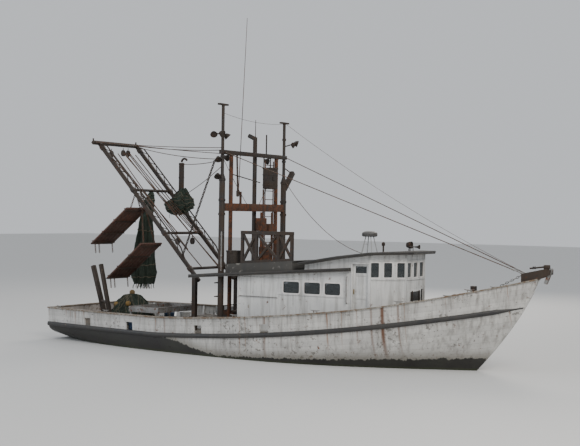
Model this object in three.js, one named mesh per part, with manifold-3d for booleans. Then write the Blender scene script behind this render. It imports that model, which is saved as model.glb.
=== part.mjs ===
// A wooden shrimp trawler, 18 m over the gear, afloat with its nets hoisted.
// Millimetres. +X to the bow, +Y to port, +Z up. The origin is amidships on the centreline, at the waterline.
import * as THREE from 'three';
import { mergeVertices } from 'three/addons/utils/BufferGeometryUtils.js';
import Module from 'manifold-3d';

const wasm = await Module();
wasm.setup();

// Driving dimensions
const GAP = 0.3;              // between fitted neighbours
const CLEAR = 6;              // round a piece that moves
const STERN_X = -8200;
const STEM_X = 9020;          // where the rub rail meets the stem
const HALF_BEAM = 2650;
const STEM_HALF = 77;
const HULL_DEPTH = -1250;     // rabbet line amidships
const KEEL_Z = -1750;
const PLANK = 60;             // bulwark and house walls
const DECK_THICK = 40;
const BULWARK = 560;          // height over the rub rail
const BULWARK_BOW = 280;      // more of it at the stem
const CAP = { width: 160, thick: 45 };
const RUB = { half: 75, proud: 75 };
const SHAFT_Z = -1130;
const PROP_X = -6760;
const PROP_R = 470;
const RUDDER_X = -7250;
const HOUSE = { aft: 0, front: 4620, halfAft: 1900, halfFront: 1450, noseX: 5440, noseHalf: 640 };
const LOWER_ROOF = { z0: 2730, slope: 0.0729, thick: 110, aft: -1900, front: 4000, step: 2400 };
const UPPER_ROOF_THICK = 90;
const WALL_SEAT = 1.8;        // from a wall's top to the sloped roof over it
const GANTRY_X = -740;
const MAST_Y = 1840;
const POLE_Y = 1350;
const BEAM_Z = 4850;
const TOP_BAR_Z = 6660;
const BOOM = { x: -2300, z: 2350, tipX: -6910, tipZ: 7110, half: 1030, size: 120 };
const HANG_AT = 0.6475;       // share of the boom where the gear hangs
const HATCH = { x0: -3000, x1: -2100, half: 450, high: 350 };

// The hull's lines
const STATIONS = [-8200, -7200, -6200, -5000, -3000, -1000, 1000, 2500, 4000, 5200, 6300, 7200, 7900,
  8400, 8750, STEM_X];
const LEVELS = [0, 0.1, 0.22, 0.4, 0.65, 1];

const sheerZ = (x) => (x < -3000 ? 560 : 560 + 7.01e-6 * (x + 3000) ** 2 + 0.03385 * (x + 3000));
const halfDeck = (x) => (x > 0
  ? HALF_BEAM * (1 - (x / 9150) ** 2.05)
  : HALF_BEAM - 450 * (x / STERN_X) ** 2);
const rabbetZ = (x) => (x > -3000 ? HULL_DEPTH : HULL_DEPTH + 1130 * ((-3000 - x) / 5200) ** 1.3);
const stemX = (z) => 7500 + 0.942 * z - 8.8e-5 * z * z;
const bulwarkZ = (x) => sheerZ(x) + BULWARK + BULWARK_BOW * Math.max(0, (x - 4200) / 4820) ** 1.5;
const fullness = (x) => (x < 1500
  ? 3 - 0.5 * Math.max(0, (-3000 - x) / 5200)
  : 3 - 1.95 * ((x - 1500) / 7520));
const rake = (x) => Math.max(0, (x - 1000) / 8020) ** 2;

// A point of the side at station x and height z, with its half-breadth
function sidePoint(x, z, grow = 0) {
  const low = rabbetZ(x);
  const top = sheerZ(x);
  const u = Math.min(1, (z - low) / (top - low));
  const flare = z > top ? 0.08 * (z - top) * (halfDeck(x) / HALF_BEAM) : 0;
  const y = STEM_HALF + (halfDeck(x) - STEM_HALF) * (1 - (1 - u) ** fullness(x)) + flare;
  return [x + (stemX(z) - stemX(top)) * rake(x), y + grow];
}

// Linear between the stations, as the faceted deck is
function deckTop(x) {
  const i = Math.max(1, STATIONS.findIndex((s) => s >= x));
  const t = (x - STATIONS[i - 1]) / (STATIONS[i] - STATIONS[i - 1]);
  return sheerZ(STATIONS[i - 1]) * (1 - t) + sheerZ(STATIONS[i]) * t + DECK_THICK;
}

const lowerRoofTop = (x) => LOWER_ROOF.z0 + LOWER_ROOF.slope * x;
const UPPER_ROOF = [            // x, top z, half-width
  [2270, 3140, 1900],
  [3620, 3380, 1800],
  [4760, 3530, 1700],
  [5760, 3560, 760],
];
function upperRoofTop(x) {
  const i = Math.min(UPPER_ROOF.length - 1, Math.max(1, UPPER_ROOF.findIndex((row) => row[0] >= x)));
  const [x0, z0] = UPPER_ROOF[i - 1];
  const [x1, z1] = UPPER_ROOF[i];
  return z0 + (z1 - z0) * (x - x0) / (x1 - x0);
}

// Solids
function solid(geometry) {
  const bare = geometry.clone();
  bare.deleteAttribute('normal');
  bare.deleteAttribute('uv');
  const g = mergeVertices(bare, 1e-3);
  return new wasm.Manifold(new wasm.Mesh({
    numProp: 3,
    vertProperties: new Float32Array(g.attributes.position.array),
    triVerts: new Uint32Array(g.index.array),
  }));
}

function geometry(manifold) {
  const mesh = manifold.getMesh();
  const g = new THREE.BufferGeometry();
  g.setAttribute('position', new THREE.BufferAttribute(new Float32Array(mesh.vertProperties), 3));
  g.setIndex(new THREE.BufferAttribute(new Uint32Array(mesh.triVerts), 1));
  return g;
}

const join = (...solids) => solids.reduce((a, b) => a.add(b));
const cut = (body, ...tools) => tools.reduce((a, b) => a.subtract(b), body);
// Copies of a body a gap away each way, which cut a fitted neighbour
const around = (body) => [[1, 0, 0], [-1, 0, 0], [0, 1, 0], [0, -1, 0], [0, 0, 1], [0, 0, -1]].map(
  (way) => body.translate(way.map((v) => v * GAP)));
// What is left of a body once its offcuts are thrown away
const trimmed = (body) => body.decompose().reduce((a, b) => (b.volume() > a.volume() ? b : a));

function box(x0, x1, y0, y1, z0, z1) {
  const g = new THREE.BoxGeometry(x1 - x0, y1 - y0, z1 - z0);
  return solid(g.translate((x0 + x1) / 2, (y0 + y1) / 2, (z0 + z1) / 2));
}

// A round or many-sided rod from p to q
function rod(p, q, r, sides = 8, rEnd = r) {
  const a = new THREE.Vector3(...p);
  const b = new THREE.Vector3(...q);
  const g = new THREE.CylinderGeometry(rEnd, r, a.distanceTo(b), sides);
  const way = b.clone().sub(a).normalize();
  g.applyQuaternion(new THREE.Quaternion().setFromUnitVectors(new THREE.Vector3(0, 1, 0), way));
  return solid(g.translate(...a.add(b).multiplyScalar(0.5).toArray()));
}

// A bar of rectangular section from p to q, wide along Y and deep across it
function bar(p, q, wide, deep) {
  const length = Math.hypot(q[0] - p[0], q[2] - p[2]);
  const g = new THREE.BoxGeometry(length, wide, deep);
  g.rotateY(-Math.atan2(q[2] - p[2], q[0] - p[0]));
  return solid(g.translate((p[0] + q[0]) / 2, (p[1] + q[1]) / 2, (p[2] + q[2]) / 2));
}

// A plate whose outline is given in X and Z, from y0 to y1
function plateXZ(outline, y0, y1) {
  const shape = new THREE.Shape(outline.map(([x, z]) => new THREE.Vector2(x, z)));
  const g = new THREE.ExtrudeGeometry(shape, { depth: y1 - y0, bevelEnabled: false });
  return solid(g.rotateX(Math.PI / 2).translate(0, y1, 0));
}

// A plate whose outline is given in X and Y, from z0 to z1
function plateXY(outline, z0, z1) {
  const shape = new THREE.Shape(outline.map(([x, y]) => new THREE.Vector2(x, y)));
  const g = new THREE.ExtrudeGeometry(shape, { depth: z1 - z0, bevelEnabled: false });
  return solid(g.translate(0, 0, z0));
}

// Closed loops of equal length joined in turn, with flat-filled ends seen along X
function loft(loops) {
  const n = loops[0].length;
  const points = loops.flat();
  const faces = [];
  for (let k = 0; k + 1 < loops.length; k += 1) {
    for (let i = 0; i < n; i += 1) {
      const a = k * n + i;
      const b = k * n + ((i + 1) % n);
      faces.push([a, b, b + n], [a, b + n, a + n]);
    }
  }
  const area = (a, b, c) => (b.x - a.x) * (c.y - a.y) - (b.y - a.y) * (c.x - a.x);
  for (const [k, turn] of [[0, -1], [loops.length - 1, 1]]) {
    const flat = loops[k].map((p) => new THREE.Vector2(p[1], p[2]));
    const way = Math.sign(THREE.ShapeUtils.area(flat));
    for (const [a, b, c] of THREE.ShapeUtils.triangulateShape(flat, [])) {
      const same = Math.sign(area(flat[a], flat[b], flat[c])) === way * turn;
      faces.push((same ? [a, b, c] : [a, c, b]).map((i) => i + k * n));
    }
  }
  let volume = 0;
  for (const [a, b, c] of faces) {
    volume += new THREE.Vector3(...points[a]).dot(
      new THREE.Vector3(...points[b]).cross(new THREE.Vector3(...points[c])));
  }
  const turned = volume < 0 ? faces.map(([a, b, c]) => [a, c, b]) : faces;
  const g = new THREE.BufferGeometry();
  g.setAttribute('position', new THREE.BufferAttribute(new Float32Array(points.flat()), 3));
  g.setIndex(turned.flat());
  return solid(g);
}

function mirrored(manifold) {
  const g = geometry(manifold);
  g.scale(1, -1, 1);
  const index = g.index.array;
  for (let i = 0; i < index.length; i += 3) {
    [index[i + 1], index[i + 2]] = [index[i + 2], index[i + 1]];
  }
  return solid(g);
}

// A solid made in a wall's own frame (u along it, depth outwards to -Y) set on the starboard wall from a to b
function onWall(manifold, a, b) {
  const g = geometry(manifold);
  g.rotateZ(Math.atan2(b[1] - a[1], b[0] - a[0]));
  return solid(g.translate(a[0], a[1], 0));
}

// Materials
function paint(color, roughness = 0.6, metalness = 0) {
  return new THREE.MeshStandardMaterial({ color, roughness, metalness });
}
const WHITE = paint(0xd8d5cd);
const BLACK = paint(0x1b1b1c);
const BOTTOM = paint(0x201c1c);
const DECK = paint(0x6d7470);
const STEEL = paint(0x2c2622, 0.75, 0.4);
const RUST = paint(0x7a4128, 0.85, 0.3);
const WOOD = paint(0x3b2d22, 0.85);
const NET = paint(0x1f2b26, 0.95);
const BRONZE = paint(0x8a6a3a, 0.4, 0.9);
const GREY = paint(0x8b8d8c, 0.5, 0.6);

const trawler = new THREE.Group();
trawler.name = 'trawler';
function add(name, manifold, material) {
  const mesh = new THREE.Mesh(geometry(manifold), material);
  mesh.name = name;
  trawler.add(mesh);
}

// Hull
const hullSolid = loft(STATIONS.map((x) => {
  const low = rabbetZ(x);
  const side = LEVELS.map((u) => {
    const z = low + (sheerZ(x) - low) * u;
    return [...sidePoint(x, z), z];
  });
  return [...side, ...side.map(([px, py, pz]) => [px, -py, pz]).reverse()];
}));
const hullCutters = around(hullSolid);
const ENGINE_ROOM = { x0: 900, x1: 3400, half: 650, floor: -850 };
const HOLD = { x0: -3700, x1: -1500, half: 900, floor: -600 };
const well = ({ x0, x1, half, floor }) => box(x0, x1, -half, half, floor, 3000);
add('hull', cut(hullSolid, well(ENGINE_ROOM), well(HOLD)), WHITE);

const keelOutline = [[-7750, KEEL_Z], [5300, KEEL_Z], [6000, KEEL_Z + 250], [6350, -1150], [5600, -1100],
  [-3000, -1100], [-6250, -350], [-6250, KEEL_Z + 80], [-7750, KEEL_Z + 80]];
add('keel', cut(plateXZ(keelOutline, -90, 90), ...hullCutters), BOTTOM);

// Engine on its bed, shaft, propeller and rudder
add('engine', box(1200, 3000, -450, 450, ENGINE_ROOM.floor + GAP, 250), GREY);

function propeller() {
  const blade = new THREE.Shape();
  blade.moveTo(-70, 60);
  blade.bezierCurveTo(-190, 230, -170, PROP_R - 60, 0, PROP_R);
  blade.bezierCurveTo(170, PROP_R - 60, 190, 230, 70, 60);
  blade.closePath();
  let body = rod([PROP_X - 110, 0, 0], [PROP_X + 110, 0, 0], 85, 12, 70);
  body = join(body, rod([PROP_X, 0, 0], [-6250 - GAP, 0, 0], 38, 10));
  for (let k = 0; k < 4; k += 1) {
    const turned = new THREE.ExtrudeGeometry(blade, { depth: 26, bevelEnabled: false, curveSegments: 5 });
    turned.translate(0, 0, -13).rotateY(Math.PI / 2 - 0.62).rotateX(Math.PI / 2 + k * Math.PI / 2);
    body = join(body, solid(turned.translate(PROP_X, 0, 0)));
  }
  return body.translate([0, 0, SHAFT_Z]);
}
add('propeller', propeller(), BRONZE);

const rudderOutline = [[RUDDER_X + 110, KEEL_Z + 150], [RUDDER_X + 110, -560], [RUDDER_X - 780, -420],
  [RUDDER_X - 820, KEEL_Z + 150]];
const stockTop = rabbetZ(RUDDER_X) - 18;
add('rudder', join(plateXZ(rudderOutline, -35, 35),
  rod([RUDDER_X, 0, KEEL_Z + 80 + GAP], [RUDDER_X, 0, stockTop], 48, 10)), BOTTOM);

// Deck, laid between the bulwarks
function deckSolid(grow, under) {
  return loft(STATIONS.slice(0, -1).map((x) => {
    const [px, py] = sidePoint(x, sheerZ(x));
    const half = Math.max(py - PLANK - 1, 5);
    const low = sheerZ(x) + GAP - under;
    const high = sheerZ(x) + DECK_THICK + grow;
    return [[px, half, low], [px, half, high], [px, -half, high], [px, -half, low]];
  }));
}
const deckCutter = deckSolid(GAP, 1200);
const seated = (body) => trimmed(cut(body, deckCutter));
const transomIn = box(STERN_X - 100, STERN_X + PLANK + 1, -3000, 3000, 0, 2000);
const hatchHole = box(HATCH.x0, HATCH.x1, -HATCH.half, HATCH.half, 0, 3000);
const between = (x0, x1) => box(x0 + GAP, x1, -3000, 3000, 0, 4000);
const deckWhole = cut(deckSolid(0, 0), transomIn, hatchHole);
const DECK_SECTIONS = [['aft', -8300, -3400], ['hatchway', -3400, -1700], ['forward', -1700, STEM_X]];
for (const [part, x0, x1] of DECK_SECTIONS) {
  add(`deck_${part}`, deckWhole.intersect(between(x0, x1)), DECK);
}

// Bulwarks with their cap rails
const FREEING_PORTS = [-6100, -4050, -1040, 1500];
function bulwarkSolid(grow) {
  return loft(STATIONS.map((x, i) => {
    const low = sheerZ(x) + GAP - grow;
    const top = bulwarkZ(x);
    const [bx, by] = sidePoint(x, low + 1);
    const [tx, ty] = sidePoint(x, top);
    const end = i === STATIONS.length - 1;
    const inner = (y, t) => (end ? 0.4 : Math.max(0.4, y - t));
    const lip = (CAP.width - PLANK) / 2;
    return [
      [bx, by + grow, low],
      [tx, ty + grow, top],
      [tx, ty + lip + grow, top],
      [tx, ty + lip + grow, top + CAP.thick + grow],
      [tx, inner(ty, PLANK + lip + grow), top + CAP.thick + grow],
      [tx, inner(ty, PLANK + lip + grow), top - 0.1],
      [tx, inner(ty, PLANK + grow), top - 0.2],
      [bx, inner(by, PLANK + grow), low],
    ];
  }));
}
const bulwarkPort = cut(bulwarkSolid(0),
  ...FREEING_PORTS.map((x) => box(x - 150, x + 150, 1800, 3000, deckTop(x) + 20, deckTop(x) + 300)));
const bulwarks = [['port', bulwarkPort], ['starboard', mirrored(bulwarkPort)]];
const BULWARK_SECTIONS = [['', -8300, 2500], ['_bow', 2500, 12000]];
for (const [side, body] of bulwarks) {
  for (const [part, x0, x1] of BULWARK_SECTIONS) {
    add(`bulwark_${side}${part}`, body.intersect(between(x0, x1)), WHITE);
  }
}
const bulwarkCutter = bulwarkSolid(GAP);
const bulwarkCutterStarboard = mirrored(bulwarkCutter);
const transomHalf = halfDeck(STERN_X) - 30;
const transomTop = bulwarkZ(STERN_X);
const transom = join(
  box(STERN_X, STERN_X + PLANK, -transomHalf, transomHalf, sheerZ(STERN_X) + GAP, transomTop),
  box(STERN_X, STERN_X + CAP.width - 50, -transomHalf, transomHalf, transomTop - 1, transomTop + CAP.thick));
add('bulwark_transom', cut(transom, bulwarkCutter, bulwarkCutterStarboard), WHITE);

// Rub rails
const rubSection = loft(STATIONS.map((x) => {
  const z = sheerZ(x);
  const [px, py] = sidePoint(x, z);
  const inner = Math.max(1, py - 40);
  return [[px, inner, z - RUB.half], [px, inner, z + RUB.half], [px, py + RUB.proud * 0.5, z + RUB.half],
    [px, py + RUB.proud, z + RUB.half * 0.5], [px, py + RUB.proud, z - RUB.half * 0.5],
    [px, py + RUB.proud * 0.4, z - RUB.half]];
}));
add('rub_rail_port', trimmed(cut(rubSection, ...hullCutters, bulwarkCutter)), BLACK);
add('rub_rail_starboard', trimmed(cut(mirrored(rubSection), ...hullCutters, bulwarkCutterStarboard)), BLACK);

// Deckhouse sides: u runs along the wall from its aft corner
const wallA = [HOUSE.aft, -HOUSE.halfAft];
const wallB = [HOUSE.front, -HOUSE.halfFront];
const wallTurn = Math.atan2(wallB[1] - wallA[1], wallB[0] - wallA[0]);
const along = (x) => x / Math.cos(wallTurn);
const SIDE_WINDOWS = [[1630, 2240], [2370, 2970], [3080, 3660]];
const SIDE_WINDOW_Z = [2120, 2530];
const DOORWAY = { x0: 4040, x1: 4560, z0: 1350, z1: 3150 };
const outline = [[0, 700], [along(HOUSE.front), 700],
  [along(HOUSE.front), upperRoofTop(HOUSE.front) - UPPER_ROOF_THICK - WALL_SEAT],
  [along(3620), upperRoofTop(3620) - UPPER_ROOF_THICK - WALL_SEAT],
  [along(LOWER_ROOF.step), upperRoofTop(LOWER_ROOF.step) - UPPER_ROOF_THICK - WALL_SEAT],
  [along(LOWER_ROOF.step), lowerRoofTop(LOWER_ROOF.step) - LOWER_ROOF.thick - 1],
  [0, lowerRoofTop(0) - LOWER_ROOF.thick - 1]];
const sideHoles = SIDE_WINDOWS.map(([x0, x1]) => box(along(x0), along(x1), -100, 200, ...SIDE_WINDOW_Z));
const doorway = box(along(DOORWAY.x0), along(DOORWAY.x1), -100, PLANK, DOORWAY.z0, DOORWAY.z1);
const sillTrack = box(along(3460), along(DOORWAY.x1 + 20), PLANK - 1, PLANK + 60, DOORWAY.z0 - 60,
  DOORWAY.z0 - 15);
const sideWall = join(cut(plateXZ(outline, 0, PLANK), ...sideHoles, doorway), sillTrack);
const sideStarboard = seated(onWall(sideWall, wallA, wallB));
add('deckhouse_side_starboard', sideStarboard, WHITE);
add('deckhouse_side_port', mirrored(sideStarboard), WHITE);

const leaf = cut(
  box(along(DOORWAY.x0 - 25), along(DOORWAY.x1 + 25), PLANK + CLEAR, PLANK + CLEAR + 40,
    DOORWAY.z0 - 15 + GAP, DOORWAY.z1 + 25),
  box(along(4290), along(4520), 0, 200, 2860, 3070));
const doorStarboard = onWall(leaf, wallA, wallB);
add('wheelhouse_door_starboard', doorStarboard, WHITE);
add('wheelhouse_door_port', mirrored(doorStarboard), WHITE);

// Aft wall and its door
const AFT_DOOR = { y0: -950, y1: -250, sill: 120, head: 1780 };
const aftFloor = deckTop(0);
const aftWall = cut(box(0.5, PLANK, -1833, 1833, 700, lowerRoofTop(0) - LOWER_ROOF.thick - 1),
  box(-10, 100, AFT_DOOR.y0, AFT_DOOR.y1, aftFloor + AFT_DOOR.sill, aftFloor + AFT_DOOR.head));
add('deckhouse_aft_wall', seated(aftWall), WHITE);
add('aft_door', box(0.5, 45, AFT_DOOR.y0 + 0.5, AFT_DOOR.y1 - CLEAR - 2, aftFloor + AFT_DOOR.sill + CLEAR,
  aftFloor + AFT_DOOR.head - CLEAR), WHITE);

// Gantry: masts and poles stand on the deck and pass through the canopy
function turned(profile, x, y, sides = 12) {
  const g = new THREE.LatheGeometry(profile.map(([r, z]) => new THREE.Vector2(r, z)), sides);
  return solid(g.rotateX(Math.PI / 2).translate(x, y, 0));
}
const mastProfile = (top, grow) => [[0, 500], [100 + grow, 500], [100 + grow, 5800], [55 + grow, 5950],
  [55 + grow, top], [0, top]];
const mastTops = [['starboard', -1, 8250], ['port', 1, 7920]];

// A lamp hood at a place, opening along its way
function lampHood([x, y, z], [dx, dy, dz], size = 110) {
  const k = size / Math.hypot(dx, dy, dz);
  return rod([x - dx * k, y - dy * k, z - dz * k], [x + dx * k * 0.3, y + dy * k * 0.3, z + dz * k * 0.3],
    size * 0.5, 8, size);
}
const MAST_ARMS = {        // from, to, radius
  starboard: [[[0, -1640, 7240], [0, -2420, 7240], 22], [[0, -1790, 6420], [60, -2200, 6450], 22],
    [[0, -1790, 5850], [60, -2200, 5900], 22]],
  port: [[[0, 1790, 7050], [50, 2560, 7220], 22], [[0, 1860, 5500], [0, 2440, 6160], 85]],
};
const MAST_LAMPS = {       // place, way
  starboard: [[[30, -2380, 7210], [0.5, -0.6, -0.6]], [[80, -2070, 7230], [0.9, 0, -0.4]],
    [[30, -1690, 7190], [0.5, 0.5, -0.7]], [[90, -2190, 6410], [0.5, -0.4, -0.8]],
    [[80, -2190, 5860], [0.4, -0.5, -0.8]]],
  port: [[[80, 2320, 7150], [0.8, 0.3, -0.5]], [[80, 2520, 7200], [0.8, 0.4, -0.3]]],
};
const offGantry = ([x, y, z]) => [GANTRY_X + x, y, z];
const mastHoles = [];
const poleHoles = [];
const poles = [];
const POLE = { r: 70, foot: 500, top: TOP_BAR_Z - 70 - GAP };
const poleSolid = (grow, s) => turned([[0, POLE.foot], [POLE.r + grow, POLE.foot],
  [POLE.r + grow, POLE.top + grow], [0, POLE.top + grow]], GANTRY_X, s * POLE_Y);
for (const [side, s, top] of mastTops) {
  const mast = join(turned(mastProfile(top, 0), GANTRY_X, s * MAST_Y),
    box(GANTRY_X - 60, GANTRY_X + 60, s * MAST_Y - 240, s * MAST_Y + 240, top - 60, top),
    ...MAST_ARMS[side].map(([from, to, r]) => rod(offGantry(from), offGantry(to), r, r > 50 ? 4 : 6)),
    ...MAST_LAMPS[side].map(([place, way]) => lampHood(offGantry(place), way)));
  mastHoles.push(turned(mastProfile(9000, GAP), GANTRY_X, s * MAST_Y));
  poleHoles.push(poleSolid(GAP, s));
  poles.push(seated(poleSolid(0, s)));
  add(`mast_${side}`, seated(mast), STEEL);
}
const legs = [...mastHoles, ...poleHoles];
const topBar = box(GANTRY_X - 70, GANTRY_X + 70, -MAST_Y - 110, MAST_Y + 110, TOP_BAR_Z - 70, TOP_BAR_Z + 70);

// A locker hangs from the bar by straps, and aerial stubs stand on it
const LOCKER = { x0: GANTRY_X, x1: GANTRY_X + 320, y0: 500, y1: 1020, z0: 5500, z1: 6250,
  straps: [540, 940] };
const STRAP = { wide: 40, thick: 30 };
const AERIALS = [[40, 7860, 20], [720, 7400, 25]];        // y, top, radius
const lockerBox = box(LOCKER.x0, LOCKER.x1, LOCKER.y0, LOCKER.y1, LOCKER.z0, LOCKER.z1);
const straps = LOCKER.straps.map((y) => box(LOCKER.x0, LOCKER.x0 + STRAP.thick, y, y + STRAP.wide,
  LOCKER.z1 - 50, TOP_BAR_Z));
const locker = join(lockerBox, ...straps);
const aerials = AERIALS.map(([y, top, r]) => rod([GANTRY_X, y, TOP_BAR_Z], [GANTRY_X, y, top], r, 6));
add('gantry_top_bar', cut(join(topBar, locker, ...aerials), ...mastHoles), STEEL);
const lowerBeam = box(GANTRY_X - 80, GANTRY_X + 80, -MAST_Y, MAST_Y, BEAM_Z - 130, BEAM_Z + 130);

// The ladder's stiles pass the beam's aft face, and two brackets hold it to the port pole
const LADDER = { x: GANTRY_X - 98, y0: 820, y1: 1320, z0: 2950, z1: 6500, rung: 300, r: 14, stile: 40,
  brackets: [3250, 6250] };
const ladder = [LADDER.y0, LADDER.y1].map((y) => box(LADDER.x - LADDER.stile / 2,
  LADDER.x + LADDER.stile / 2, y - LADDER.stile / 2, y + LADDER.stile / 2, LADDER.z0, LADDER.z1));
for (let z = LADDER.z0 + 100; z < LADDER.z1; z += LADDER.rung) {
  ladder.push(rod([LADDER.x, LADDER.y0, z], [LADDER.x, LADDER.y1, z], LADDER.r, 6));
}
for (const z of LADDER.brackets) {
  ladder.push(box(LADDER.x, GANTRY_X, LADDER.y1 - 15, LADDER.y1 + 15, z - 20, z + 20));
}
add('gantry_inner_frame', cut(join(lowerBeam, ...poles, ...ladder), ...mastHoles), RUST);

// Lower roof, notched round the wheelhouse, with the low wall under the upper roof
const roofRow = (x, half) => {
  const top = lowerRoofTop(x);
  const low = top - LOWER_ROOF.thick;
  return [[x, -half, low], [x, -half, top], [x, half, top], [x, half, low]];
};
const wallYAt = (x) => HOUSE.halfAft - (HOUSE.halfAft - HOUSE.halfFront) * x / HOUSE.front;
const notchX = LOWER_ROOF.step - 6.2;
const notch = plateXY([[notchX, -wallYAt(notchX) - 1], [HOUSE.front, -wallYAt(HOUSE.front) - 1],
  [HOUSE.front, wallYAt(HOUSE.front) + 1], [notchX, wallYAt(notchX) + 1]], 2000, 4000);
const upperSillHalf = wallYAt(LOWER_ROOF.step) - PLANK - 4;
const upperSill = box(LOWER_ROOF.step - 45, LOWER_ROOF.step - 5, -upperSillHalf, upperSillHalf,
  lowerRoofTop(LOWER_ROOF.step) - 60, upperRoofTop(LOWER_ROOF.step - 45) - UPPER_ROOF_THICK - 1);
const STACK = { x: -1000, y: 400, r: 75, top: 7300 };
const roofPlate = loft([roofRow(LOWER_ROOF.aft, 2100), roofRow(0, 2100), roofRow(LOWER_ROOF.front, 1700)]);
add('deckhouse_roof', join(cut(roofPlate, notch, ...legs), upperSill), BLACK);

// Upper roof
function upperRoof(under, over) {
  return loft(UPPER_ROOF.map(([x, z, half]) => {
    const [low, high] = [z - UPPER_ROOF_THICK - under, z + over];
    return [[x, -half, low], [x, -half, high], [x, half, high], [x, half, low]];
  }));
}

// A searchlight, two horns and a post on the wheelhouse roof
const ROOF_LAMPS = [       // x, y, foot z, top z, length of the horn or lamp forward, its radii
  [4950, 520, 3480, 3720, 160, 60, 110],
  [5300, -100, 3500, 3690, 260, 20, 70],
  [5250, 60, 3500, 3690, 200, 20, 70],
];
const roofLamps = ROOF_LAMPS.flatMap(([x, y, foot, top, length, r0, r1]) => [
  rod([x, y, foot], [x, y, top], 20, 6), rod([x - 60, y, top], [x + length, y, top], r0, 10, r1)]);
const ROOF_POST = { x: 4300, y: 0, z0: 3440, z1: 3800, r: 45 };
const roofPost = rod([ROOF_POST.x, ROOF_POST.y, ROOF_POST.z0], [ROOF_POST.x, ROOF_POST.y, ROOF_POST.z1],
  ROOF_POST.r, 8);
add('wheelhouse_roof', join(upperRoof(0, 0), roofPost, ...roofLamps), BLACK);

// Wheelhouse front: two slanted facets and the nose between them
const FACET_WINDOW = { wide: 300, pitch: 420, z0: 2720, z1: 3210 };
function facet(a, b, holes) {
  const length = Math.hypot(b[0] - a[0], b[1] - a[1]);
  const middle = length / 2;
  const panes = [-1, 0, 1].map((k) => box(middle + k * FACET_WINDOW.pitch - FACET_WINDOW.wide / 2,
    middle + k * FACET_WINDOW.pitch + FACET_WINDOW.wide / 2, -100, 200, FACET_WINDOW.z0, FACET_WINDOW.z1));
  return onWall(cut(box(0, length, 0, PLANK, 900, 3700), ...panes, ...holes), a, b);
}
const corner = [HOUSE.front + GAP, -HOUSE.halfFront];
const nose = [HOUSE.noseX, -HOUSE.noseHalf];
const slanted = facet(corner, nose, []);
const frontHatch = box(500, 1300, -100, 200, 1950, 2340);
const flat = facet(nose, [HOUSE.noseX, HOUSE.noseHalf], [frontHatch]);
const sideBlock = onWall(box(-500, along(HOUSE.front) + GAP, -10, PLANK + GAP, 500, 4000), wallA, wallB);
const facets = join(slanted, flat, mirrored(slanted));
const front = cut(facets, sideBlock, mirrored(sideBlock), upperRoof(GAP, 1000));
add('wheelhouse_front', seated(front), WHITE);

// Helm console inside
const consoleBody = box(4560, 5020, -620, 620, 900, 2300);
const consoleTop = box(4480, 5060, -680, 680, 2300, 2350);
add('helm_console', seated(join(consoleBody, consoleTop)), WOOD);

// On the lower roof: platform, cross-braced rail, stack
const PLATFORM = { aft: -550, front: 2050, half: 1860, thick: 280 };
const platformRow = (x) => {
  const low = lowerRoofTop(x) + GAP;
  return [[x, -PLATFORM.half, low], [x, -PLATFORM.half, low + PLATFORM.thick],
    [x, PLATFORM.half, low + PLATFORM.thick], [x, PLATFORM.half, low]];
};
add('roof_platform', loft([platformRow(PLATFORM.aft), platformRow(PLATFORM.front)]), BLACK);
const platformTop = (x) => lowerRoofTop(x) + GAP + PLATFORM.thick;
const RAIL_POSTS = [90, 640, 1490, 2000];
const RAIL_TOP = 4030;
const RAIL = { y: -1800, foot: 90, top: 110, post: 90, brace: 72 };
const platformRise = (platformTop(PLATFORM.front) - platformTop(PLATFORM.aft))
  / (PLATFORM.front - PLATFORM.aft);
const railFoot = (x) => platformTop(x) + RAIL.foot / 2 * Math.hypot(1, platformRise) + 0.1;
const [railAft, railFore] = [RAIL_POSTS[0] - RAIL.post / 2, RAIL_POSTS[3] + RAIL.post / 2];
const railParts = [
  bar([railAft, RAIL.y, railFoot(railAft)], [railFore, RAIL.y, railFoot(railFore)], RAIL.foot, RAIL.foot),
  bar([railAft, RAIL.y, RAIL_TOP], [railFore, RAIL.y, RAIL_TOP], RAIL.top, RAIL.top)];
for (const x of RAIL_POSTS) {
  railParts.push(box(x - RAIL.post / 2, x + RAIL.post / 2, RAIL.y - RAIL.post / 2, RAIL.y + RAIL.post / 2,
    railFoot(x) - 10, RAIL_TOP));
}
for (let k = 0; k < 3; k += 1) {
  const [a, b] = [RAIL_POSTS[k], RAIL_POSTS[k + 1]];
  railParts.push(bar([a, RAIL.y, railFoot(a)], [b, RAIL.y, RAIL_TOP], RAIL.brace - 4, RAIL.brace));
  railParts.push(bar([a, RAIL.y, RAIL_TOP], [b, RAIL.y, railFoot(b)], RAIL.brace - 4, RAIL.brace));
}
add('roof_rail_starboard', join(...railParts), STEEL);
add('exhaust_stack', join(
  cut(turned([[0, 2500], [STACK.r, 2500], [STACK.r, STACK.top], [0, STACK.top]], STACK.x, STACK.y),
    roofPlate.translate([0, 0, GAP]), box(-2000, 0, 0, 1000, 2000, 2560)),
  rod([STACK.x, STACK.y, STACK.top - 60], [STACK.x - 260, STACK.y, STACK.top + 60], STACK.r, 12)), RUST);
const WHIP = { x: GANTRY_X - 92, y: -790, foot: BEAM_Z + 130 + GAP, top: 11290, lean: 370 };
add('whip_antenna', join(
  box(GANTRY_X - 30, GANTRY_X + 30, WHIP.y - 30, WHIP.y + 30, WHIP.foot, WHIP.foot + 400),
  rod([WHIP.x, WHIP.y, WHIP.foot + 300], [WHIP.x, WHIP.y + WHIP.lean, WHIP.top], 14, 6, 8),
  box(WHIP.x - 20, GANTRY_X - 20, WHIP.y - 20, WHIP.y + 20, WHIP.foot + 300, WHIP.foot + 380)), WHITE);

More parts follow.
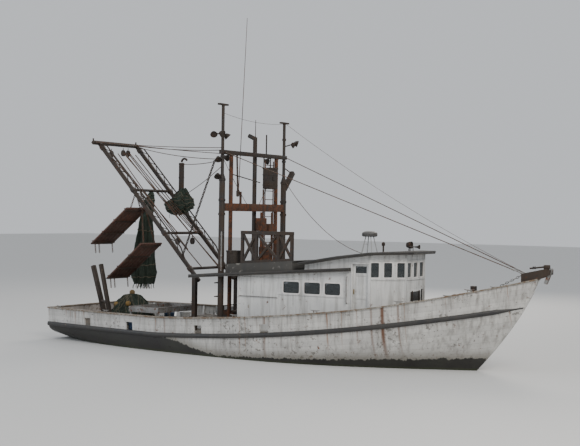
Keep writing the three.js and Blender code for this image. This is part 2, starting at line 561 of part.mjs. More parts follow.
// Radar on its four-legged stand
const RADAR = { x: 3800, y: 0, dome: 3960 };
const radarLegs = [[-1, -1], [-1, 1], [1, -1], [1, 1]].map(([sx, sy]) => rod(
  [RADAR.x + sx * 230, RADAR.y + sy * 230, 3200],
  [RADAR.x + sx * 90, RADAR.y + sy * 90, RADAR.dome + 10], 16, 6));
const dome = turned([[0, RADAR.dome], [225, RADAR.dome], [255, RADAR.dome + 50], [240, RADAR.dome + 130],
  [150, RADAR.dome + 175], [0, RADAR.dome + 185]], RADAR.x, RADAR.y, 16);
add('radar', trimmed(cut(join(dome, ...radarLegs), upperRoof(1000, GAP))), WHITE);

// Forestays from the gantry to the stem head
for (const [side, s] of [['starboard', -1], ['port', 1]]) {
  const from = [GANTRY_X + 76, s * MAST_Y, TOP_BAR_Z];
  add(`forestay_${side}`, rod(from, [9180, s * 60, 2920], 14, 6), STEEL);
}

// Boom: posts, rails, bars
const boomLength = Math.hypot(BOOM.tipX - BOOM.x, BOOM.tipZ - BOOM.z);
const boomAt = (share, off = 0) => {
  const dx = (BOOM.tipX - BOOM.x) / boomLength;
  const dz = (BOOM.tipZ - BOOM.z) / boomLength;
  return [BOOM.x + dx * boomLength * share + dz * off, BOOM.z + dz * boomLength * share - dx * off];
};

// Lacing over each boom rail: a chord held off by zigzag bars
const LACE = { from: 0.2, to: 0.955, low: 50, high: 200, bays: 18, wide: 24, chord: 50 };
function lacing(y) {
  const at = (share, off) => {
    const [x, z] = boomAt(share, off);
    return [x, y, z];
  };
  const step = (LACE.to - LACE.from) / LACE.bays;
  const parts = [bar(at(LACE.from, LACE.high), at(LACE.to, LACE.high), LACE.chord, LACE.chord),
    bar(at(LACE.from - 0.06, LACE.low), at(LACE.from, LACE.high), LACE.chord, LACE.chord),
    bar(at(LACE.to, LACE.high), at(LACE.to + 0.035, LACE.low), LACE.chord, LACE.chord)];
  for (let k = 0; k < LACE.bays; k += 1) {
    const [a, b] = k % 2 ? [LACE.high, LACE.low] : [LACE.low, LACE.high];
    parts.push(bar(at(LACE.from + k * step, a), at(LACE.from + (k + 1) * step, b), LACE.wide, LACE.wide));
  }
  return parts;
}
const DAVIT = { x: -4790, y: 1100, z0: 4960, z1: 6500, r: 110 };
for (const [side, s] of [['starboard', -1], ['port', 1]]) {
  const outer = BOOM.half + BOOM.size / 2;
  const post = box(BOOM.x - 75, BOOM.x + 75, Math.min(s * (outer + 60), s * (outer + 200)),
    Math.max(s * (outer + 60), s * (outer + 200)), 500, BOOM.z + 130);
  const boss = rod([BOOM.x, s * (outer + 100), BOOM.z], [BOOM.x, s * (outer + 0.5), BOOM.z], 55, 12);
  add(`boom_post_${side}`, seated(join(post, boss)), STEEL);
  const [ax, az] = boomAt(-60 / boomLength);
  const [bx, bz] = boomAt(1);
  const rail = bar([ax, s * BOOM.half, az], [bx, s * BOOM.half, bz], BOOM.size, BOOM.size);
  const fitted = s < 0 ? [] : [rod([DAVIT.x, DAVIT.y, DAVIT.z0], [DAVIT.x, DAVIT.y, DAVIT.z1], DAVIT.r, 10)];
  add(`boom_rail_${side}`, join(rail, ...lacing(s * BOOM.half), ...fitted), s < 0 ? STEEL : RUST);
}
const barHalf = BOOM.half - BOOM.size / 2 - GAP;
[0.0775, 0.33, HANG_AT].forEach((share, k) => {
  const [x, z] = boomAt(share);
  add(`boom_bar_${k + 1}`, rod([x, -barHalf, z], [x, barHalf, z], 50, 8), STEEL);
});
const [topX, topZ] = boomAt(1 + GAP / boomLength);
const [endX, endZ] = boomAt(1 + (110 + GAP) / boomLength);
add('boom_bar_4', bar([topX, -135, topZ], [endX, -135, endZ], 2470, 110), STEEL);

// Hung gear: net bundle and two trawl doors on the third bar
const [hangX, hangZ] = boomAt(HANG_AT);
const netRows = [          // x, y, z, half-width along x, half-width along y
  [hangX, -20, hangZ - 50 - GAP, 60, 90],
  [hangX - 60, -20, hangZ - 330, 150, 190],
  [hangX - 250, -10, 4300, 200, 230],
  [hangX - 330, 10, 3300, 330, 330],
  [hangX - 350, 30, 2450, 430, 380],
  [hangX - 350, 30, 2000, 330, 300],
];
function ring([x, y, z, a, b], n = 10) {
  return Array.from({ length: n }, (_, i) => {
    const t = 2 * Math.PI * i / n;
    return [x + a * Math.cos(t), y + b * Math.sin(t), z];
  });
}
function stacked(rows) {
  const lying = loft(rows.map((row) => ring(row).map(([x, y, z]) => [-z, y, x])));
  return solid(geometry(lying).rotateY(Math.PI / 2));
}
add('net_bundle', stacked(netRows), NET);

const BOARD = { y0: -1600, y1: -450, thick: 70 };
const DOORS = [
  ['trawl_door_upper', [-5060, 4800], [-6750, 3480], [hangX, hangZ - 50 - GAP - 14], -880],
  ['trawl_door_lower', [-4380, 3560], [-5980, 2260], [hangX, hangZ - 50 - GAP - 14], -600],
];
for (const [name, [x0, z0], [x1, z1], [hx, hz], y] of DOORS) {
  const middle = (BOARD.y0 + BOARD.y1) / 2;
  const board = bar([x0, middle, z0], [x1, middle, z1], BOARD.y1 - BOARD.y0, BOARD.thick);
  const chain = rod([x0 - 20, y, z0 - 15], [hx, y, hz + 5], 18, 6);
  const eye = box(hx - 25, hx + 25, y - 25, y + 25, hz - 25, hz + 14);
  add(name, join(board, chain, eye), WOOD);
}

// Net pile on the deck
add('net_pile', seated(stacked([[-5600, -600, 500, 800, 850], [-5600, -600, 900, 780, 800],
  [-5650, -550, 1350, 560, 560], [-5700, -500, 1700, 250, 260]])), NET);

// Stern posts: two leaning timbers with a strut between them
const STERN_POSTS = [      // foot x, foot y, top x, top z, half-width
  [-6480, -1000, -7180, 2660, 75],
  [-5730, -1550, -6300, 2760, 65],
];
const sternPosts = STERN_POSTS.map(([x0, y, x1, z1, half]) => bar([x0, y, 550], [x1, y, z1], 2 * half,
  2 * half));
const STERN_BARS = [       // from, to, radius
  [[-5960, -1550, 1400], [-6760, -1000, 1400], 40],
];
const sternBars = STERN_BARS.map(([from, to, r]) => rod(from, to, r, 8));
add('stern_posts', seated(join(...sternPosts, ...sternBars)), WOOD);

// Winches: a frame with two cheeks and a drum between them
function winchFrame(x, z, half, deep, base) {
  return seated(join(box(x - deep, x + deep, -half - 60, half + 60, base - 200, base + 70),
    box(x - deep * 0.6, x + deep * 0.6, -half - 50, -half, base, z + 110),
    box(x - deep * 0.6, x + deep * 0.6, half, half + 50, base, z + 110)));
}
function winchDrums(x, z, half, flange, core, flanges) {
  let drum = rod([x, -half + 20, z], [x, half - 20, z], core, 14);
  for (let k = 0; k < flanges; k += 1) {
    const y = -half + 40 + (2 * half - 80) * k / (flanges - 1);
    drum = join(drum, rod([x, y - 15, z], [x, y + 15, z], flange, 16));
  }
  return join(drum, rod([x, -half + GAP, z], [x, half - GAP, z], 38, 10));
}
const WINCH = { x: -1250, z: 1080, half: 760 };
add('winch_frame', winchFrame(WINCH.x, WINCH.z, WINCH.half, 340, deckTop(WINCH.x)), STEEL);
add('winch_drums', winchDrums(WINCH.x, WINCH.z, WINCH.half, 300, 190, 3), RUST);
const WINDLASS = { x: 6900, z: 2090, half: 260 };
const samsonPost = join(box(7330, 7480, -75, 75, 1500, 2550),
  box(7000, 7480, -110, 110, 1500, deckTop(7200) + 60),
  rod([7405, -210, 2380], [7405, 210, 2380], 26, 8));
const windlassFrame = winchFrame(WINDLASS.x, WINDLASS.z, WINDLASS.half, 230, deckTop(WINDLASS.x) + 40);
add('windlass_frame', seated(join(windlassFrame, samsonPost)), STEEL);
add('windlass_drum', winchDrums(WINDLASS.x, WINDLASS.z, WINDLASS.half, 200, 110, 2), RUST);

// Hatch
const coamingTop = deckTop((HATCH.x0 + HATCH.x1) / 2) + HATCH.high;
const coaming = cut(
  box(HATCH.x0 - 50, HATCH.x1 + 50, -HATCH.half - 50, HATCH.half + 50, 500, coamingTop),
  box(HATCH.x0, HATCH.x1, -HATCH.half, HATCH.half, 400, 2000));
add('hatch_coaming', seated(coaming), WHITE);
add('hatch_lid', box(HATCH.x0 - 70, HATCH.x1 + 80, -HATCH.half - 80, HATCH.half + 80, coamingTop + GAP,
  coamingTop + 60), WOOD);

// Sorting tray on four legs
const TRAY = { x0: -4650, x1: -3350, y0: -1900, y1: 300, z: 1180, rim: 150 };
const trayLegs = [[TRAY.x0 + 60, TRAY.y0 + 60], [TRAY.x0 + 60, TRAY.y1 - 60], [TRAY.x1 - 60, TRAY.y0 + 60],
  [TRAY.x1 - 60, TRAY.y1 - 60]].map(([x, y]) => box(x - 35, x + 35, y - 35, y + 35, 500, TRAY.z + 20));
add('sorting_tray', seated(join(cut(
  box(TRAY.x0, TRAY.x1, TRAY.y0, TRAY.y1, TRAY.z, TRAY.z + 40 + TRAY.rim),
  box(TRAY.x0 + 40, TRAY.x1 - 40, TRAY.y0 + 40, TRAY.y1 - 40, TRAY.z + 40, 2000)), ...trayLegs)), GREY);

// Bow roller and anchor
const bowCheek = [[8950, 2700], [9500, 2860], [9840, 3000], [9840, 3130], [9700, 3160], [8950, 2990]];
const bowFitting = join(plateXZ(bowCheek, -130, -105), plateXZ(bowCheek, 105, 130),
  plateXZ([[8950, 2700], [9500, 2860], [9700, 2930], [9700, 2960], [9480, 2890], [8950, 2735]], -106, 106),
  rod([9770, -106, 3060], [9770, 106, 3060], 45, 12));
add('bow_roller', cut(bowFitting, bulwarkCutter, bulwarkCutterStarboard,
  rod([GANTRY_X + 71, -MAST_Y, TOP_BAR_Z], [9180, -60, 2920], 15, 6),
  rod([GANTRY_X + 71, MAST_Y, TOP_BAR_Z], [9180, 60, 2920], 15, 6)), STEEL);
const shank = bar([9180, 0, 2860], [9860, 0, 3145], 40, 50);
const flukes = [-50, 50].map((y) => bar([9830, y, 3150], [9660, y, 2720], 30, 90));
const anchor = join(shank, box(9130, 9190, -40, 40, 2810, 2880),
  rod([9830, -75, 3150], [9830, 75, 3150], 24, 8), ...flukes);
add('anchor', cut(anchor, bowFitting, ...around(bowFitting)), GREY);

export default trawler;
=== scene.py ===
"""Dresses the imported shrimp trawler: planked hull, weathered house, rigged gantry, nets and deck gear.

Metres, +X to the bow, +Y to port, +Z up, and the water's surface at z = 0. Every new shape is a grid of
points that numpy works out at once, and each function says its formula.
"""
import math

import bpy
import numpy as np
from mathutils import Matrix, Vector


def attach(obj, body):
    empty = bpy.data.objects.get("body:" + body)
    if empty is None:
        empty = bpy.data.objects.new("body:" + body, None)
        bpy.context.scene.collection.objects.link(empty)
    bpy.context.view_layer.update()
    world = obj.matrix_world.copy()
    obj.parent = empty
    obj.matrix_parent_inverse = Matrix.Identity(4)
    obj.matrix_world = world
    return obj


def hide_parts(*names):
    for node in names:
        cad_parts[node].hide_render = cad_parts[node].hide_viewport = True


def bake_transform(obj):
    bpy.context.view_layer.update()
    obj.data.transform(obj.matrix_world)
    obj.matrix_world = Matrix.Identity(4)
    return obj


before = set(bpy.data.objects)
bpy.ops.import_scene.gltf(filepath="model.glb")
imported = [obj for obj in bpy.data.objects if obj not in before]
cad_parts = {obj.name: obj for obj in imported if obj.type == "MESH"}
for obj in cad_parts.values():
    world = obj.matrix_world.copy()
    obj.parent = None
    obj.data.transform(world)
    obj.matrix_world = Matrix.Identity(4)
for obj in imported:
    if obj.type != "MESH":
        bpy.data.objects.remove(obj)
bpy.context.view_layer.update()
TAU = 2 * math.pi
chance = np.random.default_rng(7)

# Driving sizes of the frame, in metres

STERN, STEM = -8.2, 9.02
HALF_BEAM, STEM_HALF = 2.65, 0.077
RUB_RAIL_AFT = 0.56
BULWARK = 0.56
PLANK = 0.06
DECK_THICK = 0.04
STATIONS = np.array([-8.2, -7.2, -6.2, -5, -3, -1, 1, 2.5, 4, 5.2, 6.3, 7.2, 7.9, 8.4, 8.75, STEM])
FREEING_PORTS = np.array([-6.1, -4.05, -1.04, 1.5])
HATCH = {"x0": -3.0, "x1": -2.1, "half": 0.45}
HOUSE_FRONT = 4.62
WALL_A, WALL_B = (0.0, -1.9), (HOUSE_FRONT, -1.45)
NOSE = (5.44, -0.64)
FACETS = ((WALL_B, NOSE), (NOSE, (NOSE[0], -NOSE[1])))
DOOR = {"aft": 4.015, "front": 4.585, "low": 1.33, "top": 3.18}
PLATFORM_THICK = 0.28
GANTRY_X, MAST_Y, POLE_Y = -0.74, 1.84, 1.35
TOP_BAR_Z, BEAM_Z = 6.66, 4.85
MAST_TOPS = {-1: 8.25, 1: 7.92}
BOOM_FOOT, BOOM_TIP, BOOM_HALF = np.array([-2.3, 2.35]), np.array([-6.91, 7.11]), 1.03
DAVIT = {"x": -4.79, "y": 1.1, "foot": 4.965, "top": 6.495}
HANG_SHARE = 0.6475


# Lines of the hull and the house

def sheer(x):
    """Height of the rub rail: level aft of x = -3, then a parabola rising to the stem."""
    return RUB_RAIL_AFT + np.where(x < -3, 0, 0.00701 * (x + 3) ** 2 + 0.03385 * (x + 3))


def half_deck(x):
    """Half-breadth at the rail: a power curve closing at the stem, a parabola drawing in to the transom."""
    ahead = HALF_BEAM * (1 - (np.maximum(x, 0) / 9.15) ** 2.05)
    return np.where(x > 0, ahead, HALF_BEAM - 0.45 * (x / STERN) ** 2)


def rabbet(x):
    """Height of the keel's top edge: level, then swept up aft of x = -3 by a power of 1.3."""
    return np.where(x > -3, -1.25, -1.25 + 1.13 * (np.maximum(-3 - x, 0) / 5.2) ** 1.3)


def stem_x(z):
    """The raked stem: a parabola in z."""
    return 7.5 + 0.942 * z - 0.088 * z * z


def bulwark_top(x):
    """The sheer plus the bulwark's height, which grows by a power of 1.5 towards the stem."""
    return sheer(x) + BULWARK + 0.28 * (np.maximum(0, x - 4.2) / 4.82) ** 1.5


def deck_top(x):
    """The deck's top follows the frame's stations in straight runs."""
    return np.interp(x, STATIONS, sheer(STATIONS)) + DECK_THICK


def side_point(x, z):
    """Half-breadth = stem half + (deck half - stem half) * (1 - (1 - u)^fullness), u the share of the height
    from rabbet to sheer, with flare over the sheer; the station slides forward with the stem's rake."""
    low, top = rabbet(x), sheer(x)
    share = np.clip((z - low) / (top - low), 0, 1)
    fullness = np.where(x < 1.5, 3 - 0.5 * np.maximum(0, (-3 - x) / 5.2), 3 - 1.95 * (x - 1.5) / 7.52)
    y = STEM_HALF + (half_deck(x) - STEM_HALF) * (1 - (1 - share) ** fullness)
    y = y + np.where(z > top, 0.08 * (z - top) * half_deck(x) / HALF_BEAM, 0)
    rake = (np.maximum(0, x - 1) / 8.02) ** 2
    return x + (stem_x(z) - stem_x(top)) * rake, y


def boot_and_stern_shade_line(x):
    """Height where the white ends: it rises gently forward with the boot top, and aft it climbs almost to the
    rail, so the black under it paints the shade of the tucked-under stern quarter.
    """
    shade_climb = np.clip((-0.2 - x) / 2.6, 0, 1)
    return 0.08 + 0.037 * np.maximum(x, 0) + 0.45 * shade_climb * shade_climb * (3 - 2 * shade_climb)


def lower_roof(x):
    """Underside of the deckhouse roof: a straight slope up forward."""
    return 2.73 + 0.0729 * x


# The wheelhouse roof's outline: station, height of its top, half-breadth
UPPER_ROOF = np.array([[2.27, 3.14, 1.9], [3.62, 3.38, 1.8], [4.76, 3.53, 1.7], [5.76, 3.56, 0.76]])


def upper_roof(x):
    """Top of the wheelhouse roof: straight runs between the outline's rows."""
    return np.interp(x, UPPER_ROOF[:, 0], UPPER_ROOF[:, 1])


def wall_at(x):
    """Length along a slanting house wall at a station."""
    return x / math.cos(math.atan2(WALL_B[1] - WALL_A[1], HOUSE_FRONT))


def boom_at(share, off=0.0):
    """A point of the boom's side view: foot + share * (tip - foot), moved off square to it, up and aft."""
    run = BOOM_TIP - BOOM_FOOT
    way = run / np.hypot(*run)
    share, off = np.asarray(share, float)[..., None], np.asarray(off, float)[..., None]
    return BOOM_FOOT + run * share + np.array([way[1], -way[0]]) * off


def on_boom(share, y, off=0.0):
    """A point on the boom: its place along the rails, its side and its distance over them."""
    x, z = boom_at(share, off)
    return np.array([x, y, z])


# Surfaces

class Part:
    """Points, quads, end caps of many sides, a map for each quad's corners, a finish number, and named values
    at the points."""

    def __init__(self, points, quads, caps=(), uv=None, slot=0, marks=None):
        self.points = np.asarray(points, float).reshape(-1, 3)
        self.quads = np.asarray(quads, int).reshape(-1, 4)
        self.caps = [np.asarray(cap, int) for cap in caps]
        self.uv = np.zeros((len(self.quads), 4, 2)) if uv is None else uv
        self.slot = slot
        self.marks = marks or {}

    def turned_out(self):
        """Turns the faces round if they enclose a negative volume."""
        p = self.points - self.points.mean(0)
        a, b, c, d = (p[self.quads[:, k]] for k in range(4))
        volume = (a * (np.cross(b, c) + np.cross(c, d))).sum()
        for cap in self.caps:
            volume += (p[cap[0]] * np.cross(p[cap[1:-1]], p[cap[2:]])).sum()
        if volume < 0:
            self.quads = self.quads[:, ::-1]
            self.uv = self.uv[:, ::-1]
            self.caps = [cap[::-1] for cap in self.caps]
        return self

    def over(self, points):
        """The same faces over other points."""
        return Part(points, self.quads, self.caps, self.uv, self.slot, self.marks)

    def moved(self, way):
        return self.over(self.points + np.asarray(way, float))

    def turned(self, angle):
        """Turned by an angle about the upright axis: x' = c x - s y, y' = s x + c y."""
        c, s = math.cos(angle), math.sin(angle)
        x, y, z = self.points.T
        return self.over(xyz(c * x - s * y, s * x + c * y, z))

    def mirrored(self):
        """The same on the other side of the centreline."""
        caps = [cap[::-1] for cap in self.caps]
        points = self.points * [1, -1, 1]
        return Part(points, self.quads[:, ::-1], caps, self.uv[:, ::-1], self.slot, self.marks)

    def copied(self, places, turns=None):
        """Copies: the part's points times each turn, plus each place."""
        places = np.asarray(places, float).reshape(-1, 3)
        k, n = len(places), len(self.points)
        turns = np.broadcast_to(np.eye(3), (k, 3, 3)) if turns is None else np.asarray(turns)
        points = np.einsum("kij,nj->kni", turns, self.points) + places[:, None]
        step = np.arange(k)[:, None, None] * n
        caps = [cap + i * n for i in range(k) for cap in self.caps]
        return Part(points, self.quads[None] + step, caps, np.tile(self.uv, (k, 1, 1)), self.slot)


def lengths(line):
    """Distances along a line of points, and last the way round to the first."""
    steps = np.linalg.norm(np.diff(line, axis=0), axis=-1)
    far = np.concatenate([[0], np.cumsum(steps)])
    return np.append(far, far[-1] + np.linalg.norm(line[-1] - line[0]))


def grid(points, wrap_rows=False, wrap_cols=False, caps=False, slot=0, marks=None):
    """Quads over rows and columns of points; a wrapped side joins its last line to its first."""
    rows, cols = points.shape[:2]
    r = np.arange(rows if wrap_rows else rows - 1)
    c = np.arange(cols if wrap_cols else cols - 1)
    a, b = np.meshgrid(r, c, indexing="ij")
    a2, b2 = (a + 1) % rows, (b + 1) % cols
    quads = xyz(a * cols + b, a2 * cols + b, a2 * cols + b2, a * cols + b2).reshape(-1, 4)
    along, around = lengths(points[:, 0]), lengths(points[0])
    u = xyz(along[a], along[a + 1], along[a + 1], along[a])
    v = xyz(around[b], around[b], around[b + 1], around[b + 1])
    ends = [np.arange(cols)[::-1], np.arange(cols) + (rows - 1) * cols] if caps else []
    return Part(points, quads, ends, xyz(u, v).reshape(-1, 4, 2), slot, marks)


def loft(rings, slot=0):
    """A solid through rings of points, with both ends capped."""
    return grid(rings, wrap_cols=True, caps=True, slot=slot).turned_out()


def xyz(*axes):
    """Points from their coordinates, each a value or an array."""
    return np.stack(np.broadcast_arrays(*axes), -1)


def unit(ways):
    """Ways brought to a length of one."""
    return ways / np.maximum(np.linalg.norm(ways, axis=-1, keepdims=True), 1e-12)


def frames_along(path, ref=None):
    """Side and up directions, square to a path and to a reference way that it never follows."""
    way = unit(np.gradient(path, axis=0))
    if ref is None:
        ref = np.eye(3)[np.argmin(np.abs(way).max(0))]
    side = unit(np.cross(way, ref))
    return side, np.cross(side, way)


def sweep(path, section, closed=False, ref=None, scale=None, slot=0):
    """A profile carried along a path: point = path + section x * side + section y * up."""
    path, section = np.asarray(path, float), np.asarray(section, float)
    if closed:
        longer = np.concatenate([path[-1:], path, path[:1]])
        side, up = (ways[1:-1] for ways in frames_along(longer, ref))
    else:
        side, up = frames_along(path, ref)
    size = np.ones(len(path)) if scale is None else np.asarray(scale, float)
    flat = section[None] * size[:, None, None]
    points = path[:, None] + flat[..., :1] * side[:, None] + flat[..., 1:] * up[:, None]
    return grid(points, wrap_rows=closed, wrap_cols=True, caps=not closed, slot=slot).turned_out()


def circle(radius, sides):
    """A ring of points whose first lies half a step round."""
    t = TAU * (np.arange(sides) + 0.5) / sides
    return radius * xyz(np.cos(t), np.sin(t))


def tube(path, radius, sides=8, closed=False, slot=0, scale=None):
    """A round profile carried along a path."""
    return sweep(path, circle(radius, sides), closed, None, scale, slot)


def line(p, q, shares):
    """Points on the straight line from p to q at shares of its length."""
    shares = np.asarray(shares, float)[:, None]
    return np.asarray(p, float) * (1 - shares) + np.asarray(q, float) * shares


def rod(p, q, radius, sides=10, slot=0, end=None):
    """A straight round bar from p to q, which may taper to another radius."""
    t = np.array([0, 0.02, 0.98, 1])
    taper = np.interp(t, [0, 1], [1, 1 if end is None else end / radius])
    return tube(line(p, q, t), radius, sides, slot=slot, scale=taper * [0.94, 1, 1, 0.94])


def rounded(half_x, half_y, radius, steps=3):
    """A rectangle whose corners are quarter circles, as a ring of points."""
    t = np.linspace(0, TAU / 4, steps + 1)
    rings = []
    for sx, sy, turn in ((1, 1, t), (-1, 1, t + TAU / 4), (-1, -1, t + TAU / 2), (1, -1, t + TAU * 3 / 4)):
        middle = np.array([sx * (half_x - radius), sy * (half_y - radius)])
        rings.append(middle + radius * xyz(np.cos(turn), np.sin(turn)))
    return np.concatenate(rings)


def beam(p, q, wide, deep, soft=0.006, ref=(0, 1, 0), slot=0):
    """A bar from p to q: a rounded rectangle that draws in on a quarter circle at both ends, wide along the
    reference way's side and deep across it."""
    p, q = np.asarray(p, float), np.asarray(q, float)
    length = np.linalg.norm(q - p)
    way = (q - p) / length
    side = unit(np.cross(way, ref))
    up = np.cross(side, way)
    t = np.linspace(0, TAU / 4, 3)
    inset, run = soft * (1 - np.sin(t)), soft * (1 - np.cos(t))
    inset, run = np.append(inset, inset[::-1]), np.append(run, length - run[::-1])
    ring = rounded(deep / 2, wide / 2, soft, 2)
    shrink = 1 - inset[:, None, None] / (np.array([deep, wide]) / 2)
    flat = ring[None] * shrink
    return loft(p + run[:, None, None] * way + flat[..., :1] * side + flat[..., 1:] * up, slot)


def slab(x0, x1, y0, y1, z0, z1, soft=0.006, slot=0):
    """A box with rounded edges: a rounded rectangle in Y and Z carried along X."""
    y, z, wide, deep = (y0 + y1) / 2, (z0 + z1) / 2, abs(y1 - y0), abs(z1 - z0)
    soft = min(soft, wide / 2.2, deep / 2.2, abs(x1 - x0) / 2.2)
    return beam((x0, y, z), (x1, y, z), wide, deep, soft, slot=slot)


# For each axis, which of (across, across, along) gives X, Y and Z
TURNED = [(2, 0, 1), (1, 2, 0), (0, 1, 2)]


def lathe(profile, at=(0, 0, 0), axis=2, sides=24, slot=0):
    """A profile of radius and height turned about an axis: x = r cos t, y = r sin t."""
    profile = np.asarray(profile, float)
    t = TAU * np.arange(sides) / sides
    r, h = np.maximum(profile[:, :1], 4e-4), profile[:, 1:]
    ring = [r * np.cos(t), r * np.sin(t), h * np.ones(sides)]
    return loft(np.stack([ring[k] for k in TURNED[axis]], -1) + np.asarray(at, float), slot)


def pierced(front, back, gone=None, marks=None):
    """A plate between two grids of points, with some cells left out and every rim closed."""
    rows, cols = front.shape[:2]
    n = rows * cols
    quads = grid(front).quads.reshape(rows - 1, cols - 1, 4)
    kept = np.ones((rows - 1, cols - 1), bool) if gone is None else ~gone
    faces = [quads[kept], quads[kept][:, ::-1] + n]
    near = np.pad(kept, 1)
    sides = ((0, 1, near[1:-1, :-2]), (1, 2, near[2:, 1:-1]), (2, 3, near[1:-1, 2:]), (3, 0, near[:-2, 1:-1]))
    for a, b, beside in sides:
        rim = quads[kept & ~beside]
        faces.append(xyz(rim[:, b], rim[:, a], rim[:, a] + n, rim[:, b] + n))
    points = np.concatenate([front.reshape(-1, 3), back.reshape(-1, 3)])
    both = {name: np.concatenate([values.ravel()] * 2) for name, values in (marks or {}).items()}
    return Part(points, np.concatenate(faces), marks=both).turned_out()


def mirrored_pair(parts):
    """Parts of one side with the same on the other."""
    return list(parts) + [part.mirrored() for part in parts]


def on_wall(parts, a=WALL_A, b=WALL_B):
    """Parts made in a wall's own frame, x along it, y into the house, set on the wall from a to b."""
    turn = math.atan2(b[1] - a[1], b[0] - a[0])
    return [part.turned(turn).moved((a[0], a[1], 0)) for part in parts]


def hung(p, q, sag, steps=13):
    """A line between two points that sags: the chord less sag * 4 t (1 - t) in height."""
    t = np.linspace(0, 1, steps)
    path = line(p, q, t)
    path[:, 2] -= sag * 4 * t * (1 - t)
    return path


def coil(centre, radius, pitch, turns, axis=2, steps=18):
    """A helix about an axis: angle t, height pitch * t / one turn."""
    t = np.linspace(0, TAU * turns, int(steps * turns) + 1)
    flat = [radius * np.cos(t), radius * np.sin(t), pitch * t / TAU]
    return np.stack([flat[k] for k in TURNED[axis]], -1) + np.asarray(centre, float)


def chain(p, q, pitch=0.09, wire=0.011, sag=0.0, slot=0):
    """Oval links along a line, each a quarter turn from the last; a link is a stretched ring."""
    p, q = np.asarray(p, float), np.asarray(q, float)
    count = max(2, round(np.linalg.norm(q - p) / pitch))
    path = hung(p, q, sag, count + 1)
    middle, way = (path[1:] + path[:-1]) / 2, np.diff(path, axis=0)
    length = np.linalg.norm(way, axis=1).mean()
    t = TAU * np.arange(10) / 10
    oval = xyz(np.cos(t) * (length / 2 + wire * 0.6), np.sin(t) * length * 0.3, 0 * t)
    link = sweep(oval, circle(wire, 5), True, (0, 0, 1), slot=slot)
    way = unit(way)
    side = unit(np.cross(way, (0.13, 0.98, 0.11)))
    up = np.cross(way, side)
    odd = (np.arange(count) % 2 == 1)[:, None]
    side, up = np.where(odd, up, side), np.where(odd, -side, up)
    return link.copied(middle, xyz(way, side, up))


def mesh_of(name, parts):
    """One mesh of parts, with their finish numbers, maps and marks; a missing mark is 1."""
    points = np.concatenate([part.points for part in parts])
    loops, totals, slots, maps, start = [], [], [], [], 0
    for part in parts:
        loops.append((part.quads + start).ravel())
        maps.append(part.uv.reshape(-1, 2))
        totals.append(np.full(len(part.quads), 4))
        for cap in part.caps:
            loops.append(cap + start)
            maps.append(np.zeros((len(cap), 2)))
            totals.append([len(cap)])
        slots.append(np.full(len(part.quads) + len(part.caps), part.slot))
        start += len(part.points)
    loops, totals = np.concatenate(loops), np.concatenate(totals)
    mesh = bpy.data.meshes.new(name)
    mesh.vertices.add(len(points))
    mesh.vertices.foreach_set("co", points.astype(np.float32).ravel())
    mesh.loops.add(len(loops))
    mesh.polygons.add(len(totals))
    mesh.polygons.foreach_set("loop_start", np.concatenate([[0], np.cumsum(totals)[:-1]]).astype(np.int32))
    mesh.polygons.foreach_set("vertices", loops.astype(np.int32))
    mesh.polygons.foreach_set("material_index", np.concatenate(slots).astype(np.int32))
    mesh.uv_layers.new(name="UVMap").data.foreach_set("uv", np.concatenate(maps).astype(np.float32).ravel())
    for label in sorted({label for part in parts for label in part.marks}):
        values = [part.marks.get(label, np.ones(len(part.points))) for part in parts]
        mark = mesh.attributes.new(label, "FLOAT", "POINT")
        mark.data.foreach_set("value", np.concatenate([np.ravel(v) for v in values]).astype(np.float32))
    mesh.update(calc_edges=True)
    return mesh


def build(name, parts, looks, body="boat", replaces=(), sharp=32, bevel=0, blend=None):
    """One piece of parts on its body, with a finish for each part's number. Edges over the sharp angle in
    degrees stay sharp, and bevel is the width of rounded edges."""
    mesh = mesh_of(name, parts)
    mesh.shade_smooth()
    mesh.set_sharp_from_angle(angle=math.radians(sharp))
    thing = bpy.data.objects.new(name, mesh)
    bpy.context.scene.collection.objects.link(thing)
    for look in looks if isinstance(looks, list) else [looks]:
        mesh.materials.append(look)
    if bevel:
        edge = thing.modifiers.new("rounded edges", "BEVEL")
        edge.width = bevel
        edge.segments = 2
        edge.limit_method = "ANGLE"
        edge.angle_limit = math.radians(40)
    if blend:
        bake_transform(thing)
    else:
        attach(thing, body)
    if replaces:
        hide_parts(*replaces)


# Finishes

